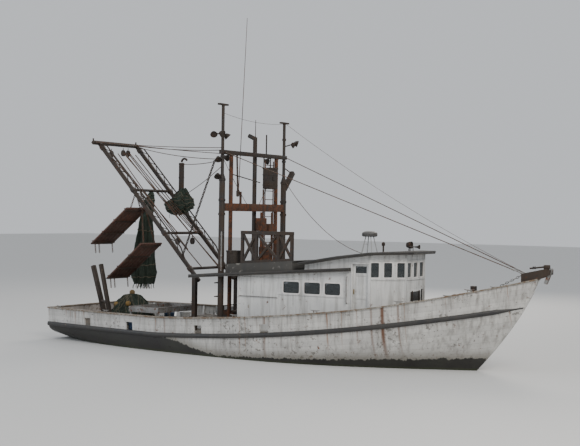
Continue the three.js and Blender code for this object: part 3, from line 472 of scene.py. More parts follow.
class Graph:
    """A node tree with a short call for each kind of node."""

    def __init__(self, tree):
        self.tree = tree

    def feed(self, value, socket):
        """Gives a socket a value or another node's output."""
        if isinstance(value, bpy.types.NodeSocket):
            self.tree.links.new(value, socket)
        else:
            socket.default_value = value

    def node(self, kind, inputs=None, **settings):
        made = self.tree.nodes.new(kind)
        for key, value in settings.items():
            setattr(made, key, value)
        for key, value in (inputs or {}).items():
            self.feed(value, made.inputs[key])
        return made

    def calc(self, operation, a, b=0.0, clamp=False):
        return self.node("ShaderNodeMath", {0: a, 1: b}, operation=operation, use_clamp=clamp).outputs[0]

    def add(self, a, b, clamp=False):
        return self.calc("ADD", a, b, clamp)

    def less(self, a, b):
        return self.calc("SUBTRACT", a, b)

    def times(self, a, b, clamp=False):
        return self.calc("MULTIPLY", a, b, clamp)

    def over(self, a, b):
        return self.calc("DIVIDE", a, b)

    def cut(self, value, edge, slope):
        """0 well under the edge, a half at it and 1 well over it."""
        return self.add(self.times(self.less(value, edge), slope), 0.5, True)

    def step(self, value, low, high, to_low=0.0, to_high=1.0):
        """A value's smooth step from low to high."""
        inputs = {0: value, 1: low, 2: high, 3: to_low, 4: to_high}
        return self.node("ShaderNodeMapRange", inputs, interpolation_type="SMOOTHSTEP").outputs[0]

    def mix(self, share, a, b):
        """Colour a where the share is 0 and b where it is 1."""
        return self.node("ShaderNodeMix", {0: share, 6: a, 7: b}, data_type="RGBA").outputs[2]

    def mix_values(self, share, a, b):
        """Number a where the share is 0 and b where it is 1."""
        return self.node("ShaderNodeMix", {0: share, 2: a, 3: b}, data_type="FLOAT").outputs[0]

    def noise(self, vector, scale, detail=4.0, rough=0.55):
        inputs = {"Vector": vector, "Scale": scale, "Detail": detail, "Roughness": rough}
        return self.node("ShaderNodeTexNoise", inputs).outputs[0]

    def scaled_noise(self, given, factor, detail, rough):
        """A noise at a group's place, at a multiple of its scale."""
        return self.noise(given["Vector"], self.times(given["Scale"], factor), detail, rough)

    def dice(self, value):
        """Random value and colour of a whole number."""
        return self.node("ShaderNodeTexWhiteNoise", {"W": value}, noise_dimensions="1D").outputs

    def stretched(self, vector, shares):
        """The same coordinates stretched along the axes."""
        return self.node("ShaderNodeVectorMath", {0: vector, 1: shares}, operation="MULTIPLY").outputs[0]

    def mark(self, name):
        """A mark of the piece's points."""
        return self.node("ShaderNodeAttribute", attribute_name=name).outputs["Fac"]

    def use(self, name, **inputs):
        """An effect's group, with values or outputs for its inputs."""
        return self.node("ShaderNodeGroup", inputs, node_tree=EFFECTS[name]).outputs


def effect(name, inputs, *outputs):
    """A shader group, whose inputs are vectors or numbers as their values are; Colour is a colour."""
    tree = bpy.data.node_groups.new(name, "ShaderNodeTree")
    for label, value in inputs.items():
        kind = "NodeSocketVector" if isinstance(value, tuple) else "NodeSocketFloat"
        tree.interface.new_socket(label, in_out="INPUT", socket_type=kind).default_value = value
    for label in outputs:
        kind = "NodeSocketColor" if label == "Colour" else "NodeSocketFloat"
        tree.interface.new_socket(label, in_out="OUTPUT", socket_type=kind)
    return Graph(tree), tree.nodes.new("NodeGroupInput").outputs, tree.nodes.new("NodeGroupOutput").inputs


PLACE = (0, 0, 0)


def make_patches():
    """Broad tone, of a few patches to a metre, and fine grain: two noises of the place."""
    g, given, result = effect("patches", {"Vector": PLACE, "Scale": 1.0}, "Broad", "Fine")
    broad = g.scaled_noise(given, 1.3, 5, 0.6)
    fine = g.scaled_noise(given, 22, 6, 0.6)
    g.feed(g.step(broad, 0.3, 0.7), result["Broad"])
    g.feed(fine, result["Fine"])
    return g.tree


def make_chips():
    """Flaked paint: a rough noise cut off sharply, more of it where a broad noise is high."""
    g, given, result = effect("chips", {"Vector": PLACE, "Scale": 1.0, "Amount": 0.2}, "Mask")
    flake = g.scaled_noise(given, 9, 9, 0.68)
    broad = g.scaled_noise(given, 0.9, 3, 0.5)
    both = g.add(g.times(flake, 0.7), g.times(broad, 0.3))
    g.feed(g.cut(both, g.less(0.72, g.times(given["Amount"], 0.34)), 60), result["Mask"])
    return g.tree


def make_rust():
    """Rust: blotches of three browns from one noise, with a mask that grows with the amount."""
    inputs = {"Vector": PLACE, "Scale": 1.0, "Amount": 0.3}
    g, given, result = effect("rust", inputs, "Colour", "Mask", "Height")
    blotch = g.scaled_noise(given, 3, 10, 0.66)
    tone = g.scaled_noise(given, 31, 6, 0.7)
    ramp = g.node("ShaderNodeValToRGB", {0: tone})
    browns = ramp.color_ramp.elements
    browns[0].position, browns[0].color = 0.3, (0.03, 0.012, 0.007, 1)
    browns[1].position, browns[1].color = 0.74, (0.3, 0.105, 0.03, 1)
    browns.new(0.52).color = (0.12, 0.04, 0.015, 1)
    g.feed(ramp.outputs[0], result["Colour"])
    g.feed(g.cut(blotch, g.less(0.7, g.times(given["Amount"], 0.42)), 11), result["Mask"])
    g.feed(tone, result["Height"])
    return g.tree


def make_runs():
    """Stains that run down: cells along a line each hold one with its own place, width, length and weight."""
    inputs = {"Along": 0.0, "Down": 0.0, "Pitch": 0.2, "Length": 0.5, "Amount": 0.5}
    g, given, result = effect("runs", inputs, "Mask")
    place = g.over(given["Along"], given["Pitch"])
    dice = g.dice(g.calc("FLOOR", place))
    first, second, third = g.node("ShaderNodeSeparateColor", {0: dice["Color"]}).outputs
    wobble = g.noise(g.node("ShaderNodeCombineXYZ", {0: place, 1: given["Down"]}).outputs[0], 4.0)
    centre = g.add(g.add(g.times(first, 0.5), 0.1), g.times(wobble, 0.3))
    away = g.calc("ABSOLUTE", g.less(g.calc("FRACT", place), centre))
    width = g.add(g.times(second, 0.16), 0.03)
    across = g.step(g.over(away, width), 1.0, 0.1)
    reach = g.times(given["Length"], g.add(third, 0.25))
    down = g.step(g.over(given["Down"], reach), 1.0, 0.0)
    weight = g.calc("POWER", dice["Value"], 2.2)
    g.feed(g.times(g.times(g.times(across, down), weight), given["Amount"], True), result["Mask"])
    return g.tree


def make_planks():
    """Boards of their own tones: a seam is where the share of a pitch nears 0 or 1."""
    g, given, result = effect("planks", {"Across": 0.0, "Pitch": 0.14, "Seam": 0.03}, "Line", "Tone")
    place = g.over(given["Across"], given["Pitch"])
    share = g.calc("FRACT", place)
    near = g.calc("MINIMUM", share, g.less(1.0, share))
    g.feed(g.step(near, given["Seam"], 0.0), result["Line"])
    g.feed(g.dice(g.calc("FLOOR", place))["Value"], result["Tone"])
    return g.tree


def make_edges():
    """Worn edges: how far the rounded normal turns from the face's own, broken up by noise."""
    g, given, result = effect("edges", {"Vector": PLACE, "Radius": 0.012, "Amount": 0.6}, "Mask")
    soft = g.node("ShaderNodeBevel", {"Radius": given["Radius"]}, samples=3).outputs[0]
    flat = g.node("ShaderNodeNewGeometry").outputs["Normal"]
    match = g.node("ShaderNodeVectorMath", {0: soft, 1: flat}, operation="DOT_PRODUCT").outputs["Value"]
    broken = g.step(g.noise(given["Vector"], 14.0, 6, 0.65), 0.42, 0.6)
    turn = g.step(match, 0.998, 0.9)
    g.feed(g.times(g.times(turn, broken), given["Amount"], True), result["Mask"])
    return g.tree


def make_grain():
    """Wood grain: a noise drawn out along one axis, banded by a wave of its own value."""
    g, given, result = effect("grain", {"Vector": PLACE, "Scale": 1.0}, "Grain")
    coarse = g.scaled_noise(given, 5, 6, 0.6)
    bands = g.calc("SINE", g.times(coarse, 42))
    fine = g.scaled_noise(given, 40, 4, 0.6)
    g.feed(g.add(g.times(bands, 0.25), fine), result["Grain"])
    return g.tree


EFFECTS = {"patches": make_patches(), "chips": make_chips(), "rust": make_rust(), "runs": make_runs(),
           "planks": make_planks(), "edges": make_edges(), "grain": make_grain()}

# Colours of what lies over paint and wood
GRIME = (0.085, 0.07, 0.052)
RUST_STAIN, SOOT_STAIN, RUST_DRIP = (0.23, 0.095, 0.035), (0.06, 0.052, 0.045), (0.12, 0.045, 0.016)
# The water mark and the bottom paint's black also paint the shade under the stern's tuck, where their line
# climbs to the rail
WATER_MARK_AND_STERN_SHADE, SLIME = (0.13, 0.115, 0.085), (0.05, 0.065, 0.025)
BOTTOM_PAINT_AND_STERN_SHADE = (0.016, 0.014, 0.013), (0.03, 0.03, 0.024)

# Runs of rust under the rail: place along the hull, half-width, weight
RUST_RUNS = ((4.95, 0.05, 0.55), (5.27, 0.09, 0.95), (5.72, 0.045, 0.6), (-2.45, 0.05, 0.5),
             (1.52, 0.08, 0.45))


def rgb(colour, share=1.0):
    """A colour times a share, as a socket takes it."""
    return (*(share * value for value in colour), 1.0)


class Surface(Graph):
    """A material in the making: two tones by broad noise, with layers over them; roughness and height follow
    the same masks."""

    def __init__(self, name, colour, second, rough, scale):
        self.material = bpy.data.materials.new(name)
        self.material.use_nodes = True
        super().__init__(self.material.node_tree)
        self.where = self.node("ShaderNodeTexCoord").outputs["Object"]
        self.x, _, self.z = self.node("ShaderNodeSeparateXYZ", {0: self.where}).outputs
        self.second, self.scale = second, scale
        tone = self.use("patches", Vector=self.where, Scale=scale)
        self.broad, self.fine = tone["Broad"], tone["Fine"]
        self.streak = self.noise(self.stretched(self.where, (5, 5, 0.5)), 1.6 * scale, 5, 0.6)
        self.colour = self.mix(self.broad, rgb(colour), rgb(second))
        self.height = self.times(self.fine, 0.35)
        self.roughness = self.step(self.broad, 0.0, 1.0, rough - 0.06, min(1.0, rough + 0.1))

    def lay(self, mask, colour):
        """A colour over what is there, where the mask is 1."""
        self.colour = self.mix(mask, self.colour, colour)

    def lay_grain(self, stretch):
        """Darker lines of wood grain, drawn out by the stretch."""
        lines = self.use("grain", Vector=self.stretched(self.where, stretch), Scale=self.scale)["Grain"]
        self.lay(self.step(lines, 0.25, 0.85), rgb(self.second, 0.55))
        self.height = self.add(self.height, self.times(lines, 0.5))

    def lay_strakes(self):
        """Hull planks of their own tones, with dark seams."""
        board = self.use("planks", Across=self.mark("strake"), Pitch=0.155, Seam=0.035)
        self.lay(self.times(board["Tone"], 0.22), rgb(self.second, 0.5))
        self.lay(self.times(board["Line"], 0.5), rgb(self.second, 0.25))
        self.height = self.less(self.height, self.times(board["Line"], 1.2))

    def lay_dirt(self, amount):
        """Grime in upright streaks."""
        self.lay(self.times(self.step(self.streak, 0.42, 0.72), amount), rgb(GRIME))

    def lay_chips(self, amount, under):
        """Flaked paint that shows what is under it."""
        worn = self.use("chips", Vector=self.where, Scale=self.scale, Amount=amount)["Mask"]
        self.lay(worn, rgb(under))
        self.height = self.less(self.height, self.times(worn, 0.5))

    def lay_bare_edges(self, amount, under):
        self.lay(self.use("edges", Vector=self.where, Radius=0.014, Amount=amount)["Mask"], rgb(under))

    def lay_runs(self, amount):
        """Rust and soot that run down from the rail, and the drips of the table."""
        below = self.mark("under_rail")
        rust = self.use("runs", Along=self.x, Down=below, Pitch=0.23, Length=0.75, Amount=amount)["Mask"]
        soot = self.use("runs", Along=self.add(self.x, 7.3), Down=below, Pitch=0.11, Length=0.5,
                        Amount=amount * 0.8)["Mask"]
        self.lay(rust, rgb(RUST_STAIN))
        self.lay(soot, rgb(SOOT_STAIN))
        wander = self.times(self.less(self.streak, 0.5), 0.05)
        for place, width, weight in RUST_RUNS:
            away = self.add(self.calc("ABSOLUTE", self.less(self.x, place)), wander)
            drip = self.times(self.step(away, width, width * 0.1), self.step(below, 1.5, 0.2, 0.0, weight))
            self.lay(drip, rgb(RUST_DRIP))

    def lay_rust(self, amount, metal):
        """Blotches of rust, rough and raised, and hardly metallic."""
        spots = self.use("rust", Vector=self.where, Scale=self.scale * 2, Amount=amount)
        self.lay(spots["Mask"], spots["Colour"])
        self.roughness = self.mix_values(spots["Mask"], self.roughness, 0.9)
        self.height = self.add(self.height, self.times(spots["Mask"], spots["Height"]))
        if metal:
            metallic = self.tree.nodes["Principled BSDF"].inputs["Metallic"]
            self.feed(self.step(spots["Mask"], 0.0, 0.8, metal, 0.05), metallic)

    def lay_bottom_and_stern_shade(self):
        """Bottom paint with a ragged edge, a water mark over it, and slime at the water; aft, where the line
        climbs to the rail, the black and the water mark's fade are painted shade of the stern's tuck.
        """
        ragged = self.add(self.mark("over_boot"), self.times(self.less(self.fine, 0.5), 0.05))
        ragged = self.add(ragged, self.times(self.less(self.streak, 0.5), 0.3))
        # Black below the line: bottom paint forward, painted shade of the tucked stern quarter aft
        bottom = self.step(ragged, 0.012, -0.012)
        self.lay(self.step(ragged, 0.34, 0.0, 0.0, 0.62), rgb(WATER_MARK_AND_STERN_SHADE))
        self.lay(bottom, self.mix(self.broad, *(rgb(tone) for tone in BOTTOM_PAINT_AND_STERN_SHADE)))
        slime = self.times(bottom, self.step(self.z, 0.1, 0.02, 0.0, 0.8))
        self.lay(self.times(slime, self.fine), rgb(SLIME))

    def finished(self, metal, bump):
        """Feeds the shader; metalness that is the same all over goes on its own socket."""
        inputs = self.tree.nodes["Principled BSDF"].inputs
        if not inputs["Metallic"].is_linked:
            inputs["Metallic"].default_value = metal
        relief = self.node("ShaderNodeBump", {"Height": self.height, "Strength": bump, "Distance": 0.006})
        self.feed(self.colour, inputs["Base Color"])
        self.feed(self.roughness, inputs["Roughness"])
        self.feed(relief.outputs[0], inputs["Normal"])
        return self.material


def finish(name, colour, second, rough=0.6, metal=0.0, chips=0.0, under=(0.2, 0.19, 0.18), rust=0.0,
           dirt=0.15, edge=0.0, scale=1.0, bump=0.25, grain=None, hull_runs=0.0):
    """One weathered surface: two tones, then grain, strakes, dirt, flaked paint, bare edges, runs, rust and
    bottom paint with the painted stern shade in turn; strakes, runs, bottom paint and that shade are the
    hull's."""
    surface = Surface(name, colour, second, rough, scale)
    if grain:
        surface.lay_grain(grain)
    if hull_runs:
        surface.lay_strakes()
    surface.lay_dirt(dirt)
    if chips:
        surface.lay_chips(chips, under)
    if edge:
        surface.lay_bare_edges(edge, under)
    if hull_runs:
        surface.lay_runs(hull_runs)
    if rust:
        surface.lay_rust(rust, metal)
    if hull_runs:
        surface.lay_bottom_and_stern_shade()
    return surface.finished(metal, bump)


def pane_of(name, tint, gloss):
    """Dark window glass: clear, tinted, with a smear of salt over its gloss."""
    made = bpy.data.materials.new(name)
    made.use_nodes = True
    g, inputs = Graph(made.node_tree), made.node_tree.nodes["Principled BSDF"].inputs
    where = g.node("ShaderNodeTexCoord").outputs["Object"]
    smear = g.noise(g.stretched(where, (3, 3, 0.8)), 3.0, 5, 0.6)
    g.feed(g.step(smear, 0.35, 0.75, gloss, gloss + 0.22), inputs["Roughness"])
    g.feed(g.mix(g.step(smear, 0.4, 0.9), rgb(tint), rgb(tint, 0.7)), inputs["Base Color"])
    inputs["Transmission Weight"].default_value = 0.75
    inputs["IOR"].default_value = 1.45
    return made


HULL_WHITE = finish("weathered hull white", (0.62, 0.61, 0.58), (0.5, 0.49, 0.47), 0.55, chips=0.42,
                    under=(0.2, 0.19, 0.175), dirt=0.5, rust=0.1, hull_runs=0.85)
HOUSE_WHITE = finish("house white", (0.7, 0.7, 0.68), (0.58, 0.585, 0.58), 0.5, chips=0.26,
                     under=(0.25, 0.22, 0.18), dirt=0.42, rust=0.1, edge=0.5)
TRIM_BLACK = finish("black trim", (0.02, 0.02, 0.021), (0.04, 0.038, 0.036), 0.5, chips=0.3,
                    under=(0.12, 0.09, 0.06), dirt=0.2, edge=0.7)
BOTTOM = finish("bottom paint", (0.03, 0.016, 0.013), (0.022, 0.022, 0.018), 0.8, chips=0.3,
                under=(0.05, 0.06, 0.03), dirt=0.4)
DECK_WOOD = finish("trodden deck", (0.21, 0.2, 0.18), (0.13, 0.115, 0.095), 0.8, chips=0.5,
                   under=(0.16, 0.115, 0.075), dirt=0.35, grain=(0.25, 3, 3), bump=0.5)
CAP_WOOD = finish("cap rail", (0.4, 0.385, 0.35), (0.24, 0.21, 0.17), 0.7, chips=0.62,
                  under=(0.15, 0.1, 0.062), dirt=0.35, grain=(0.3, 3, 3), edge=0.6)
ROOF = finish("tarred roof", (0.045, 0.044, 0.042), (0.075, 0.072, 0.066), 0.85, chips=0.35,
              under=(0.2, 0.19, 0.17), dirt=0.3, scale=0.8)
STEEL = finish("dark steel", (0.026, 0.022, 0.02), (0.05, 0.034, 0.024), 0.65, 0.3, chips=0.2,
               under=(0.085, 0.04, 0.02), rust=0.12, edge=0.4, scale=1.4)
RUSTY = finish("rusted steel", (0.075, 0.034, 0.018), (0.045, 0.024, 0.016), 0.8, 0.2, rust=0.42, dirt=0.35,
               scale=1.3)
ZINC = finish("galvanised", (0.34, 0.34, 0.33), (0.22, 0.215, 0.205), 0.5, 0.75, rust=0.28, dirt=0.25,
              scale=2.0)
WIRE = finish("wire rope", (0.1, 0.085, 0.07), (0.06, 0.045, 0.032), 0.6, 0.5, rust=0.4, scale=4.0)
BRONZE = finish("bronze", (0.42, 0.27, 0.1), (0.2, 0.17, 0.09), 0.35, 0.9, dirt=0.2, scale=2.0)
IRON = finish("engine paint", (0.05, 0.09, 0.07), (0.04, 0.06, 0.05), 0.5, dirt=0.5, rust=0.2, scale=2)
DARK_WOOD = finish("tarred oak", (0.06, 0.04, 0.028), (0.032, 0.024, 0.019), 0.8, chips=0.35,
                   under=(0.12, 0.085, 0.055), dirt=0.2, grain=(1.2, 3, 1.2), bump=0.6)
WOOD = finish("varnished wood", (0.2, 0.105, 0.045), (0.12, 0.062, 0.028), 0.45, dirt=0.1, grain=(3, 0.4, 3))
BOARD_WOOD = finish("board planks", (0.13, 0.05, 0.032), (0.075, 0.034, 0.024), 0.75, chips=0.4,
                    under=(0.09, 0.065, 0.045), dirt=0.3, grain=(0.4, 3, 0.4), bump=0.6)
WINDOW_TRIM = finish("window trim", (0.78, 0.76, 0.74), (0.66, 0.64, 0.63), 0.45, dirt=0.25, edge=0.3,
                     under=(0.3, 0.24, 0.18))
NET = finish("tarred net", (0.012, 0.022, 0.016), (0.03, 0.045, 0.032), 0.9, dirt=0.25, scale=3, bump=0.9,
             chips=0.35, under=(0.05, 0.05, 0.036))
ROPE = finish("old rope", (0.22, 0.19, 0.13), (0.12, 0.11, 0.08), 0.9, dirt=0.4, scale=6, grain=(6, 6, 6),
              bump=0.8)
TWINE = finish("net twine", (0.05, 0.075, 0.055), (0.028, 0.045, 0.034), 0.85, dirt=0.3, scale=6)
FLOAT_YELLOW = finish("net floats", (0.26, 0.16, 0.035), (0.15, 0.09, 0.03), 0.7, dirt=0.8, scale=3)
PLASTIC_WHITE = finish("white plastic", (0.72, 0.73, 0.72), (0.62, 0.62, 0.6), 0.4, dirt=0.25)
PLASTIC_GREY = finish("grey plastic", (0.42, 0.43, 0.42), (0.34, 0.34, 0.33), 0.55, dirt=0.4)
PLASTIC_DARK = finish("dark plastic", (0.06, 0.06, 0.062), (0.09, 0.088, 0.085), 0.5, dirt=0.5)
PLASTIC_BLUE = finish("blue plastic", (0.06, 0.12, 0.24), (0.05, 0.09, 0.17), 0.5, dirt=0.4)
PANE = pane_of("window glass", (0.11, 0.13, 0.14), 0.06)


# Camera, light and floor

CAMERA_AT, CAMERA_TARGET, CAMERA_ROLL = (20.71, -30.89, 4.6), (0.75, 0.0, 4.35), 0.86
LAMP_TARGET = (0, 0, 2.5)
FLOOR_HALF = 150
# Each lamp: name, place, width, power, tone
LAMPS = (("key", (24, -16, 20), 14, 5200, (1, 0.95, 0.88)),
         ("fill", (-20, -24, 14), 18, 2300, (0.86, 0.92, 1)),
         ("rim", (-6, 26, 18), 16, 3200, (1, 0.93, 0.84)))


def stand(name, data, place):
    """A thing of the stage at its place."""
    thing = bpy.data.objects.new(name, data)
    bpy.context.scene.collection.objects.link(thing)
    thing.location = place
    return thing


def look_at(thing, target, roll=0.0):
    """Turns a camera or lamp to face a place, leaning by a roll in degrees."""
    way = np.asarray(target, float) - np.asarray(thing.location)
    facing = Vector(way).to_track_quat("-Z", "Y").to_matrix().to_4x4()
    lean = Matrix.Rotation(math.radians(roll), 4, "Z")
    thing.rotation_euler = (facing @ lean).to_euler()


def make_camera():
    """The camera: where the photograph was taken, with a lens that frames the boat alone."""
    lens = bpy.data.cameras.new("camera")
    lens.sensor_width = 36
    lens.lens = 68
    lens.clip_end = 400
    camera = stand("camera", lens, CAMERA_AT)
    look_at(camera, CAMERA_TARGET, CAMERA_ROLL)
    bpy.context.scene.camera = camera


def make_floor():
    """A pale floor at the water's level: a flat grid in X and Y."""
    side = np.linspace(-FLOOR_HALF, FLOOR_HALF, 7)
    x, y = np.meshgrid(side, side, indexing="ij")
    sheet = grid(xyz(x, y, 0 * x))
    mesh = bpy.data.meshes.new("floor")
    mesh.from_pydata(sheet.points.tolist(), [], sheet.quads[:, ::-1].tolist())
    pale = bpy.data.materials.new("pale floor")
    pale.use_nodes = True
    inputs = pale.node_tree.nodes["Principled BSDF"].inputs
    inputs["Base Color"].default_value = rgb((0.62, 0.62, 0.61))
    inputs["Roughness"].default_value = 0.75
    mesh.materials.append(pale)
    stand("floor", mesh, (0, 0, 0))


def make_lights():
    """Three wide round lamps and a pale sky."""
    for name, place, size, power, tone in LAMPS:
        lamp = bpy.data.lights.new(name, "AREA")
        lamp.shape = "DISK"
        lamp.size = size
        lamp.energy = power
        lamp.color = tone
        look_at(stand(name, lamp, place), LAMP_TARGET)
    world = bpy.data.worlds.new("studio")
    world.use_nodes = True
    back = world.node_tree.nodes["Background"].inputs
    back["Color"].default_value = rgb((0.86, 0.89, 0.93))
    back["Strength"].default_value = 0.75
    bpy.context.scene.world = world


# Hull

SKIN, STRAKES_ROUND = 0.05, 2.48
PORT_HALF = 0.15
PORT_ROWS = np.array([0, 0.06, 0.13, 0.2, 0.27, 0.34])
CAP_HALF = 0.0225
DECK_AFT = STERN + 0.062
HATCH_RIM = 0.052


def hull_stations(count):
    """Stations from stern to stem, closer together where the bow closes in."""
    t = np.linspace(0, 1, count)
    return STERN + (STEM - STERN) * (t + 0.22 * t * (1 - t))


def paint_marks(over_boot, under_rail, strake):
    """What the hull's paint reads at each point; the height over the boot line also carries the painted stern
    shade.
    """
    return {"over_boot": over_boot, "under_rail": under_rail, "strake": strake}


def stern_face(height, half, columns):
    """A flat grid across the stern: a row for each height, as wide as its half-breadth."""
    across = np.linspace(-1, 1, columns)
    return xyz(STERN, half[:, None] * across, height[:, None])


def make_hull():
    """The planked skin: side points over stations and shares of height, offset inwards along their normals
    for the planks' thickness. Strakes follow the share."""
    x = hull_stations(190)[:, None]
    share = np.linspace(0, 1, 40) ** 1.35
    z = rabbet(x) + (sheer(x) - rabbet(x)) * share
    px, py = side_point(x + 0 * z, z)
    port = xyz(px, py, z)
    normal = unit(np.cross(np.gradient(port, axis=0), np.gradient(port, axis=1)))
    normal *= np.sign(normal[..., 1:2]) + (normal[..., 1:2] == 0)
    inner = port - normal * SKIN
    inner[:, 0, 2] = port[:, 0, 2] + SKIN
    inner[:, -1, 2] = port[:, -1, 2]
    inner[..., 0] = np.maximum(inner[..., 0], STERN)
    inner[..., 1] = np.maximum(inner[..., 1], 0.004)
    outside, inside = (np.concatenate([(face * [1, -1, 1])[:, ::-1], face], 1) for face in (port, inner))
    level = outside[..., 2]
    strake = STRAKES_ROUND * np.concatenate([share[::-1], share]) + 0 * level
    # Under the stern quarter the boot line climbs to the rail, painting the hull black there as shade
    skin = pierced(outside, inside, marks=paint_marks(level - boot_and_stern_shade_line(x), sheer(x) - level, strake))
    build("hull_planking", [skin], HULL_WHITE, replaces=["hull"], sharp=50)


def make_transom():
    """The transom: a flat board from rabbet to rub rail."""
    height = rabbet(STERN) + (sheer(STERN) - rabbet(STERN)) * np.linspace(0, 1, 15) ** 1.2
    face = stern_face(height, side_point(np.full(15, STERN), height)[1], 25)
    level = face[..., 2]
    # At the stern the boot line lies just under the rail, so the transom is painted black there as shade
    marks = paint_marks(level - boot_and_stern_shade_line(STERN), RUB_RAIL_AFT - level, level)
    board = pierced(face, face + [PLANK, 0, 0], marks=marks)
    build("transom_planking", [board], HULL_WHITE)


def make_stem():
    """The stem timber: a half-round carried up the raked stem line."""
    z = np.linspace(-1.2, sheer(STEM) + 0.5, 30)
    ahead = STEM - stem_x(sheer(STEM)) + 0.01
    path = xyz(stem_x(z) + ahead, 0 * z, z)
    t = np.linspace(-TAU / 4, TAU / 4, 9)
    nose = xyz(0.02 - 0.05 * np.cos(t), 0.072 * np.sin(t))
    section = np.concatenate([nose, [[0.05, 0.072], [0.05, -0.072]]])
    timber = sweep(path, section, ref=(0, 1, 0))
    along = timber.points[:, 0]
    timber.marks = paint_marks(np.repeat(z - boot_and_stern_shade_line(8.4), len(section)), 0 * along + 0.5, along)
    build("stem_timber", [timber], HULL_WHITE)


def make_bulwarks():
    """Bulwark planking: a plate over stations and heights, pierced by freeing ports. Its lowest rows run
    parallel to the sheer."""
    edges = np.concatenate([FREEING_PORTS - PORT_HALF, FREEING_PORTS + PORT_HALF])
    x = np.sort(np.concatenate([hull_stations(120), edges]))
    x = x[np.append(True, np.diff(x) > 1e-4)]
    left = (bulwark_top(x) - sheer(x))[:, None] - PORT_ROWS[-1]
    low = np.broadcast_to(PORT_ROWS, (len(x), len(PORT_ROWS)))
    rise = np.concatenate([low, PORT_ROWS[-1] + left * np.linspace(0.25, 1, 4)], 1)
    z = sheer(x)[:, None] + rise
    px, py = side_point(x[:, None] + 0 * z, z)
    front = xyz(px, py, z)
    back = xyz(px, np.maximum(py - PLANK, 0.003), z)
    middle = (x[1:] + x[:-1]) / 2
    at_port = (np.abs(middle[:, None] - FREEING_PORTS) < PORT_HALF).any(1)
    row = np.arange(z.shape[1] - 1)
    gone = at_port[:, None] & (row >= 1) & (row < 5)
    side = pierced(front, back, gone, paint_marks(z, bulwark_top(x)[:, None] - z, z - sheer(x)[:, None]))
    names = ["bulwark_port", "bulwark_port_bow", "bulwark_starboard", "bulwark_starboard_bow"]
    build("bulwark_planking", mirrored_pair([side]), HULL_WHITE, replaces=names,
          bevel=0.006)


def make_timberheads():
    """Short timbers inside the bulwark that lean as it does, none at a freeing port."""
    heads = []
    for x in np.arange(-7.9, 8.2, 0.46):
        if np.abs(FREEING_PORTS - x).min() > 0.22:
            low, high = deck_top(x), bulwark_top(x) - 0.004
            (x0, y0), (x1, y1) = side_point(x, low), side_point(x, high)
            heads.append(beam((x0, y0 - 0.093, low), (x1, y1 - 0.093, high), 0.07, 0.06, ref=(1, 0, 0)))
    build("timberheads", mirrored_pair(heads), HOUSE_WHITE)


def make_cap_rails():
    """Rounded boards over the bulwarks' tops and the transom."""
    x = hull_stations(150)
    top = bulwark_top(x)
    px, py = side_point(x, top)
    inner, outer = np.maximum(py - 0.135, 0.002), py + 0.05
    ring = rounded(0.5, CAP_HALF, 0.0095, 2)
    y = ((inner + outer) / 2)[:, None] + (outer - inner)[:, None] * ring[:, 0]
    z = top[:, None] + CAP_HALF + ring[:, 1]
    cap = loft(xyz(px[:, None], y, z))
    half = half_deck(STERN) - 0.03
    aft = slab(STERN, STERN + 0.11, -half, half, top[0] - 0.001, top[0] + 2 * CAP_HALF, 0.012)
    build("cap_rails", [cap, cap.mirrored(), aft], CAP_WOOD)


def make_rub_rails():
    """Rub rails: a full half-round along the sheer that thins towards the stem."""
    x = hull_stations(150)
    z = sheer(x)
    px, py = side_point(x, z)
    t = np.linspace(-TAU / 4, TAU / 4, 9)
    bulge = xyz(0.075 * np.cos(t) ** 0.6, 0.075 * np.sin(t))
    ring = np.concatenate([bulge, [[-0.03, 0.075], [-0.03, -0.075]]])
    thin = np.clip((x[-1] - x) / 0.7, 0.3, 1)[:, None]
    y, z = py[:, None] + ring[:, 0] * thin, z[:, None] + ring[:, 1] * thin
    rub = loft(xyz(px[:, None], y, z))
    build("rub_rails", mirrored_pair([rub]), TRIM_BLACK,
          replaces=["rub_rail_port", "rub_rail_starboard"])


def make_transom_bulwark():
    """The bulwark over the transom: a flat board across the stern."""
    rise = BULWARK * np.linspace(0, 1, 8)
    height = sheer(STERN) + rise
    face = stern_face(height, side_point(np.full(8, STERN), height)[1] - PLANK, 21)
    level = face[..., 2] - sheer(STERN)
    board = pierced(face, face + [PLANK, 0, 0], marks=paint_marks(level + 1, BULWARK - level, level))
    build("transom_bulwark", [board], HULL_WHITE, replaces=["bulwark_transom"],
          bevel=0.006)


def deck_planks(edges, start, stop):
    """Deck planks between edges: crowned bars, their ends cut along the covering board."""
    station = np.linspace(STERN, 8.4, 500)
    room = side_point(station, sheer(station))[1] - PLANK - 0.14
    widest = int(np.argmax(room))
    low, high = edges[:-1, None] + 0.003, edges[1:, None] - 0.003
    y = np.concatenate([low, low, low + 0.004, (low + high) / 2, high - 0.004, high, high], 1)
    begin = np.maximum(np.interp(np.abs(y), room[:widest + 1], station[:widest + 1]), start)
    end = np.minimum(np.interp(-np.abs(y), -room[widest:], station[widest:]), stop)
    keep = ((end - begin).min(1) > 0.3) & (np.abs(y).max(1) < room[widest])
    y, begin, end = y[keep][:, None], begin[keep][:, None], end[keep][:, None]
    x = begin + (end - begin) * np.linspace(0, 1, 46)[:, None]
    crown = np.array([-0.034, -0.004, 0, 0.0006, 0, -0.004, -0.034])
    return [loft(plank) for plank in xyz(x, y, deck_top(x) + crown)]


def covering_board():
    """The flat board along the deck's port edge, beside the bulwark."""
    x = np.linspace(DECK_AFT, 8.62, 120)
    half = side_point(x, sheer(x))[1] - PLANK - 0.002
    inside = np.maximum(half - 0.16, 0.01)
    ring = [(inside, -0.036), (inside, 0.004), (inside + 0.006, 0.01), (half - 0.006, 0.01), (half, 0.004),
            (half, -0.036)]
    return loft(np.stack([xyz(x, y, deck_top(x) + rise) for y, rise in ring], 1), 1)


